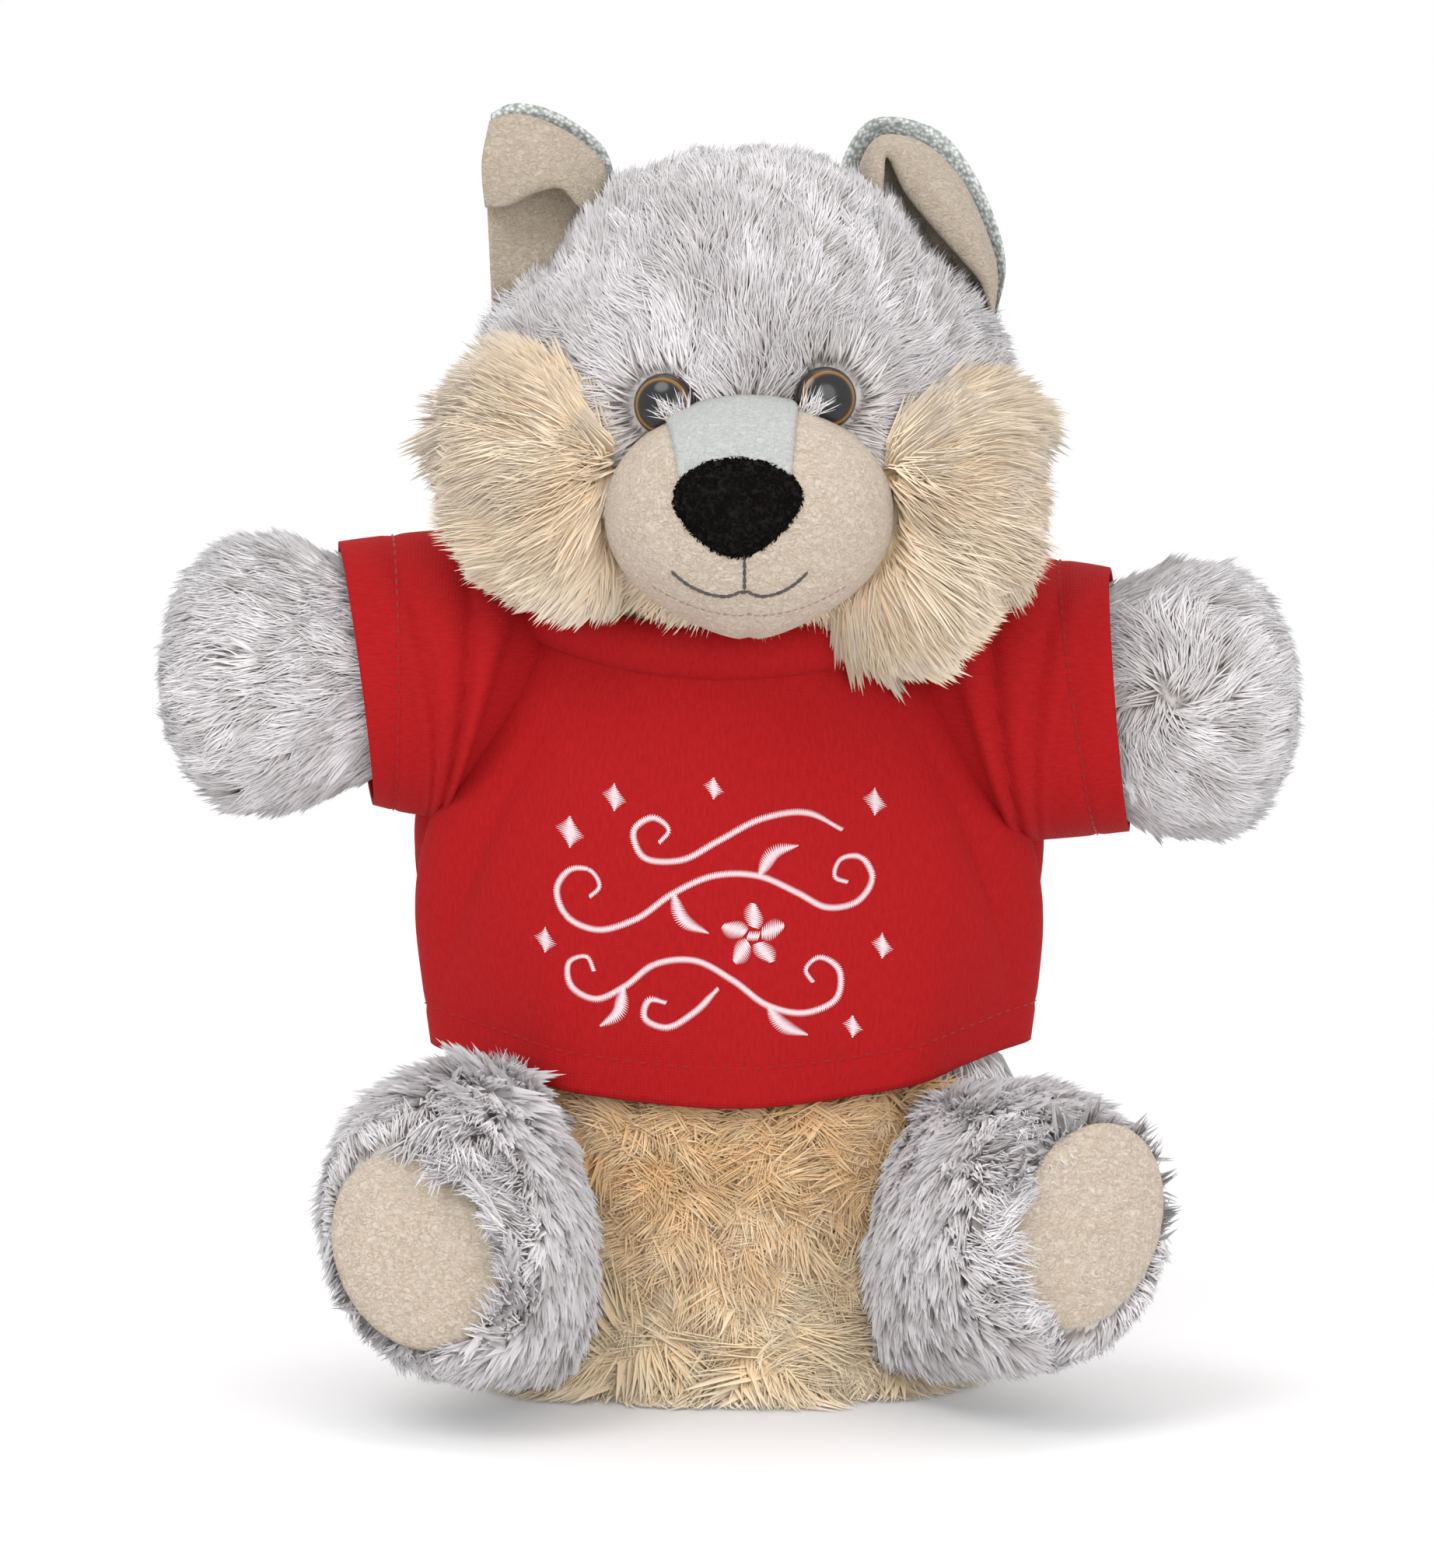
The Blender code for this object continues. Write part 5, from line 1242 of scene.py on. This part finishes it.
shirt_front = shirt_panel("jersey_front", math.radians(-89.7), math.radians(89.7), 124)
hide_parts("shirt_front")
shirt_back = shirt_panel("jersey_back", math.radians(90.3), math.radians(269.7), 50)
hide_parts("shirt_back")

SLEEVE_FROM, RAGLAN_LEAN = 13.0 * MM, 0.34
SLEEVE_SLANT = {"left": 0.13, "right": -0.09}
SLEEVE_START, SLEEVE_END = np.array([25.5, 28.5]) * MM, np.array([23.5, 26.0]) * MM
SLEEVE_FOLD = 2.2 * MM
SLEEVE_TUCK = 0.75
CUFF_AT = 0.72


def sleeve_point(side, turn, share, out=0.0):
    """A short tube round the arm, cut on a slant at the raglan seam. Below share 0 it narrows and tucks in
    under the body of the shirt. Deep folds run along the seam in front, and others along the sleeve."""
    rest = np.clip(share, 0, 1)
    tuck = 1 + SLEEVE_TUCK * np.minimum(share, 0)[..., None]
    half = (SLEEVE_START + (SLEEVE_END - SLEEVE_START) * rest[..., None]) * tuck
    fan = np.clip(rest / (0.3 + 0.35 * (1 + np.sin(turn))), 0, 1)
    seam_fold = 1.7 * np.abs(np.sin(2.5 * math.pi * fan ** 0.85)) ** 0.6
    seam_fold = seam_fold * (1 - fan) ** 0.4 * np.abs(np.cos(turn)) ** 1.2
    long_fold = rest * (1 - rest) * (1 + np.sin(5 * turn + 1))
    cuff_row = np.exp(-((share - CUFF_AT) / 0.03) ** 2)
    raised = SLEEVE_FOLD * (seam_fold + long_fold) + out - 0.35 * MM * cuff_row
    up = np.sin(turn) * half[..., 1]
    along = SLEEVE_FROM * (1 - share) + SLEEVE_TO[side] * share
    along = along + SLEEVE_SLANT[side] * up * share - RAGLAN_LEAN * up * (1 - share)
    local = np.stack(np.broadcast_arrays(
        along, (half[..., 0] + raised) * np.cos(turn), (half[..., 1] + raised) * np.sin(turn)), -1)
    return turned(local, ARM_FROM[side], ARM_TURN[side])


columns = np.linspace(0, math.tau, 81)[:-1][None, :]
shares = np.linspace(-0.42, 1, 46)[:, None]
for side in ("left", "right"):
    outside, inside = (sleeve_point(side, columns, shares + 0 * columns, out) for out in (SHIRT_WALL, 0.0))
    flat = laid_flat(outside, True)
    sleeve = cloth("jersey_sleeve_" + side, outside, inside, True, flat, jersey)
    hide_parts("sleeve_" + side)

COLLAR_HEIGHT, COLLAR_LEAN = 11.0 * MM, 1.5 * MM
turns = np.linspace(0, math.tau, 121)[:-1][None, :]
share = np.linspace(0, 1, 16)[:, None]
lean = COLLAR_LEAN * share
round_edge = np.sin(math.pi * np.clip(share, 0.02, 0.98)) ** 0.5
walls = []
for out in (0.8 * MM + 4.0 * MM * round_edge, 0.4 * MM - 0.4 * MM * round_edge):
    wall = shirt_point(turns + 0 * share, neck_height(turns) + 0 * share, out + lean)
    wall[..., 2] += COLLAR_HEIGHT * share - 1.2 * MM
    walls.append(wall)
band_flat = laid_flat(walls[0], True)
neckband = cloth("jersey_neckband", walls[0], walls[1], True, band_flat, jersey)
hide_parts("shirt_neckband")

# Stitching on the shirt: the hem and the cuffs are turned up and held by a row of red thread, and white
# satin stitch makes a motif of scrolls, leaves and a flower on the chest.
SATIN_PITCH, SATIN_THICK = 0.4 * MM, 0.27 * MM
SCROLL_WIDTH = 1.65 * MM
SCROLLS = (
    ((-29, 102), (-27, 104), (-28.5, 107), (-32.5, 107.5), (-35.5, 104), (-34, 98.5), (-28, 95.5),
     (-20, 97.5), (-12, 103), (-4, 106.5), (5, 106.5), (13, 103), (19, 100), (25.5, 101.5), (28, 106),
     (25.5, 110), (21.5, 109.5), (20.5, 106), (23, 105)),
    ((-15, 113), (-13, 115.5), (-16, 118), (-20, 115.5), (-18.5, 110.5), (-11, 109.5), (-3, 113.5), (6, 118),
     (15, 119), (22, 115.5)),
    ((16, 85), (14.5, 87.5), (17, 90), (21, 88), (21, 82), (15, 79), (7, 80.5), (0, 85.5), (-8, 89.5),
     (-16, 88.5), (-22, 84), (-28, 81.5), (-33, 84.5), (-33, 89), (-29.5, 90), (-28, 87)),
    ((-3, 84), (-8, 79), (-14, 76), (-18, 78), (-17, 81.5), (-13.5, 81)),
)
LEAVES = (
    ((-12, 103), (-10, 97.5), (-5, 95)), ((5, 106.5), (8, 111), (13, 112.5)),
    ((7, 80.5), (10, 76.5), (15, 74.5)), ((-22, 84), (-23, 79), (-27, 76)),
)
LEAF_WIDTH = 3.4 * MM
FLOWER_AT, FLOWER_FROM, FLOWER_TO = (4.0, 94.5), 1.7, 6.6
STARS = (
    (-24, 122, 5.5), (-33, 115, 6.5), (-38, 93, 5), (30, 92, 5), (28.5, 121, 5.5), (-4, 124, 4.5),
    (24, 76, 4.5),
)

red_thread = thread("red_thread", "#8E1113", "#9B1517")
white_thread = thread("white_thread", "#F1D4DA", "#F8E4E8")


def on_shirt(x, z):
    """The front of the shirt at x and z, and the way that it faces."""
    turn = np.zeros_like(x)
    for _ in range(8):
        half_width = along_profile(SHIRT_PROFILE, z)[0] + shirt_fold(turn, z) + SHIRT_WALL
        turn = np.arcsin(np.clip((x - SHIRT_X) / half_width, -1, 1))
    at, face, _, _ = surface_frame(shirt_skin, turn, z)
    return at, face


def satin(spine, widths):
    """The two ends of threads laid side by side across a smooth spine, with a width at each share of its
    length."""
    spine = np.array(spine) * MM
    knots = np.concatenate([[0.0], np.cumsum(np.linalg.norm(np.diff(spine, axis=0), axis=1))])
    fine = along_profile(np.column_stack([knots, spine]), np.linspace(0, knots[-1], 400)).T
    run = np.concatenate([[0.0], np.cumsum(np.linalg.norm(np.diff(fine, axis=0), axis=1))])
    place = np.arange(SATIN_PITCH / 2, run[-1], SATIN_PITCH)
    middle = np.stack([np.interp(place, run, fine[:, axis]) for axis in (0, 1)], -1)
    way = unit(np.gradient(middle, axis=0))
    across = unit(np.stack([-way[:, 1], way[:, 0]], -1) + 0.35 * way)
    reach = widths(place / run[-1])[:, None] / 2 * across
    return middle - reach, middle + reach


def even(share):
    return SCROLL_WIDTH * np.clip(8 * np.minimum(share, 1 - share), 0.45, 1) ** 0.5


def leaf(share):
    return LEAF_WIDTH * (0.1 + 0.9 * np.sin(math.pi * share ** 0.8))


def petal(share):
    return 4.4 * MM * (0.15 + 0.85 * np.sin(math.pi * (0.15 + 0.82 * share)))


def star(size):
    return lambda share: size * MM * (1 - np.abs(2 * share - 1)) ** 1.3 + 0.3 * MM


threads = [satin(scroll, even) for scroll in SCROLLS] + [satin(spine, leaf) for spine in LEAVES]
for angle in np.radians(90.0 + 72.0 * np.arange(5)):
    way = np.array([math.cos(angle), math.sin(angle)])
    threads.append(satin([FLOWER_AT + FLOWER_FROM * way, FLOWER_AT + FLOWER_TO * way], petal))
x, z = FLOWER_AT
threads.append(satin([(x - 1.2, z), (x + 1.2, z)], lambda share: 2.2 * MM + 0 * share))
threads += [satin([(x, z - size / 2), (x, z + size / 2)], star(size)) for x, z, size in STARS]
ends = [np.concatenate([pair[end] for pair in threads]) for end in (0, 1)]
(first, up), (last, _) = (on_shirt(end[:, 0], end[:, 1]) for end in ends)
long = np.linalg.norm(last - first, axis=-1, keepdims=True)
middle = (first + last) / 2 + (0.35 * MM + 0.12 * long) * up
shade = 0.5 + 0.4 * np.sin(np.arange(len(first)) * 2.4)
motif = strands(
    "chest_motif", first, middle, last, up, SATIN_THICK, shade, white_thread, rings=1, tail=0.1 * MM,
)

for name, surface, first, last in (
    ("hem_stitches_front", shirt_skin, -1.55, 1.55),
    ("hem_stitches_back", shirt_skin, 1.6, 4.68),
    ("cuff_stitches_left", lambda turn, share: sleeve_point("left", turn, share, SHIRT_WALL), 0, math.tau),
    ("cuff_stitches_right", lambda turn, share: sleeve_point("right", turn, share, SHIRT_WALL), 0, math.tau),
):
    turns = np.linspace(first, last, 500)
    v = hem_height(turns) + HEM_DEEP if surface is shirt_skin else np.full(500, CUFF_AT)
    path, face, _, _ = surface_frame(surface, turns, v)
    row = stitches(
        name, path, face, pitch=2.9 * MM, thick=0.3 * MM, finish=red_thread, over=0.78, arch=0.5 * MM,
    )

# Floor and light: a plain white table with a soft shadow, under big soft lamps in a white room. Seen by the
# camera, the paper glows a little, so that only the shadow by the puppet shows, and further out it fades
# into the white of the room.
FLOOR_SIZE = 3.0
PAPER_GLOW = 0.1
FADE_FROM, FADE_TO = 0.16, 0.34
floor_data = bpy.data.meshes.new("floor")
corners = [(x * FLOOR_SIZE, y * FLOOR_SIZE, 0) for x, y in ((-1, -1), (1, -1), (1, 1), (-1, 1))]
floor_data.from_pydata(corners, [], [(0, 1, 2, 3)])
floor = bpy.data.objects.new("floor", floor_data)
bpy.context.scene.collection.objects.link(floor)
paper, tree, shader = start_material("white_paper", Roughness=0.9, Specular_IOR_Level=0.0)
shader.inputs["Base Color"].default_value = linear("#F4F4F4")
rays = add(tree, "LightPath")
glow = add(tree, "Math", {0: rays.outputs["Is Camera Ray"], 1: PAPER_GLOW}, operation="MULTIPLY")
tree.links.new(glow.outputs[0], shader.inputs["Emission Strength"])
shader.inputs["Emission Color"].default_value = (1.0, 1.0, 1.0, 1.0)
place = add(tree, "TexCoord").outputs["Object"]
away = add(tree, "VectorMath", {0: place}, operation="LENGTH")
fade = add(tree, "MapRange", {"Value": away.outputs["Value"], "From Min": FADE_FROM, "From Max": FADE_TO})
gone = add(tree, "Math", {0: fade.outputs[0], 1: rays.outputs["Is Camera Ray"]}, operation="MULTIPLY")
clear = add(tree, "BsdfTransparent")
either = add(tree, "MixShader", {0: gone.outputs[0], 1: shader.outputs["BSDF"], 2: clear.outputs["BSDF"]})
tree.links.new(either.outputs[0], tree.nodes["Material Output"].inputs["Surface"])
floor_data.materials.append(paper)

world = bpy.data.worlds.new("white_room")
bpy.context.scene.world = world
world.use_nodes = True
tree = world.node_tree
rays = add(tree, "LightPath")
direct = {0: rays.outputs["Is Camera Ray"], 1: rays.outputs["Is Glossy Ray"]}
seen = add(tree, "Math", direct, operation="MAXIMUM")
room, white = add(tree, "Background", {"Strength": 0.86}), add(tree, "Background", {"Strength": 1.0})
either = add(tree, "MixShader", {0: seen.outputs[0], 1: room.outputs[0], 2: white.outputs[0]})
tree.links.new(either.outputs[0], tree.nodes["World Output"].inputs["Surface"])
for background in (room, white):
    background.inputs["Color"].default_value = (1.0, 1.0, 1.0, 1.0)

for name, place, size, power in (
    ("key_lamp", (-0.8, -1.2, 1.4), 1.0, 10.0),
    ("fill_lamp", (0.6, -1.5, 0.45), 1.2, 9.0),
    ("top_lamp", (0.0, 0.3, 1.6), 1.2, 4.0),
):
    lamp_data = bpy.data.lights.new(name, "AREA")
    lamp_data.shape, lamp_data.size, lamp_data.energy = "DISK", size, power
    lamp = bpy.data.objects.new(name, lamp_data)
    lamp.location = place
    lamp.rotation_euler = (Vector((0.0, 0.0, 0.12)) - Vector(place)).to_track_quat("-Z", "Y").to_euler()
    bpy.context.scene.collection.objects.link(lamp)

bpy.context.scene.view_settings.view_transform = "Standard"
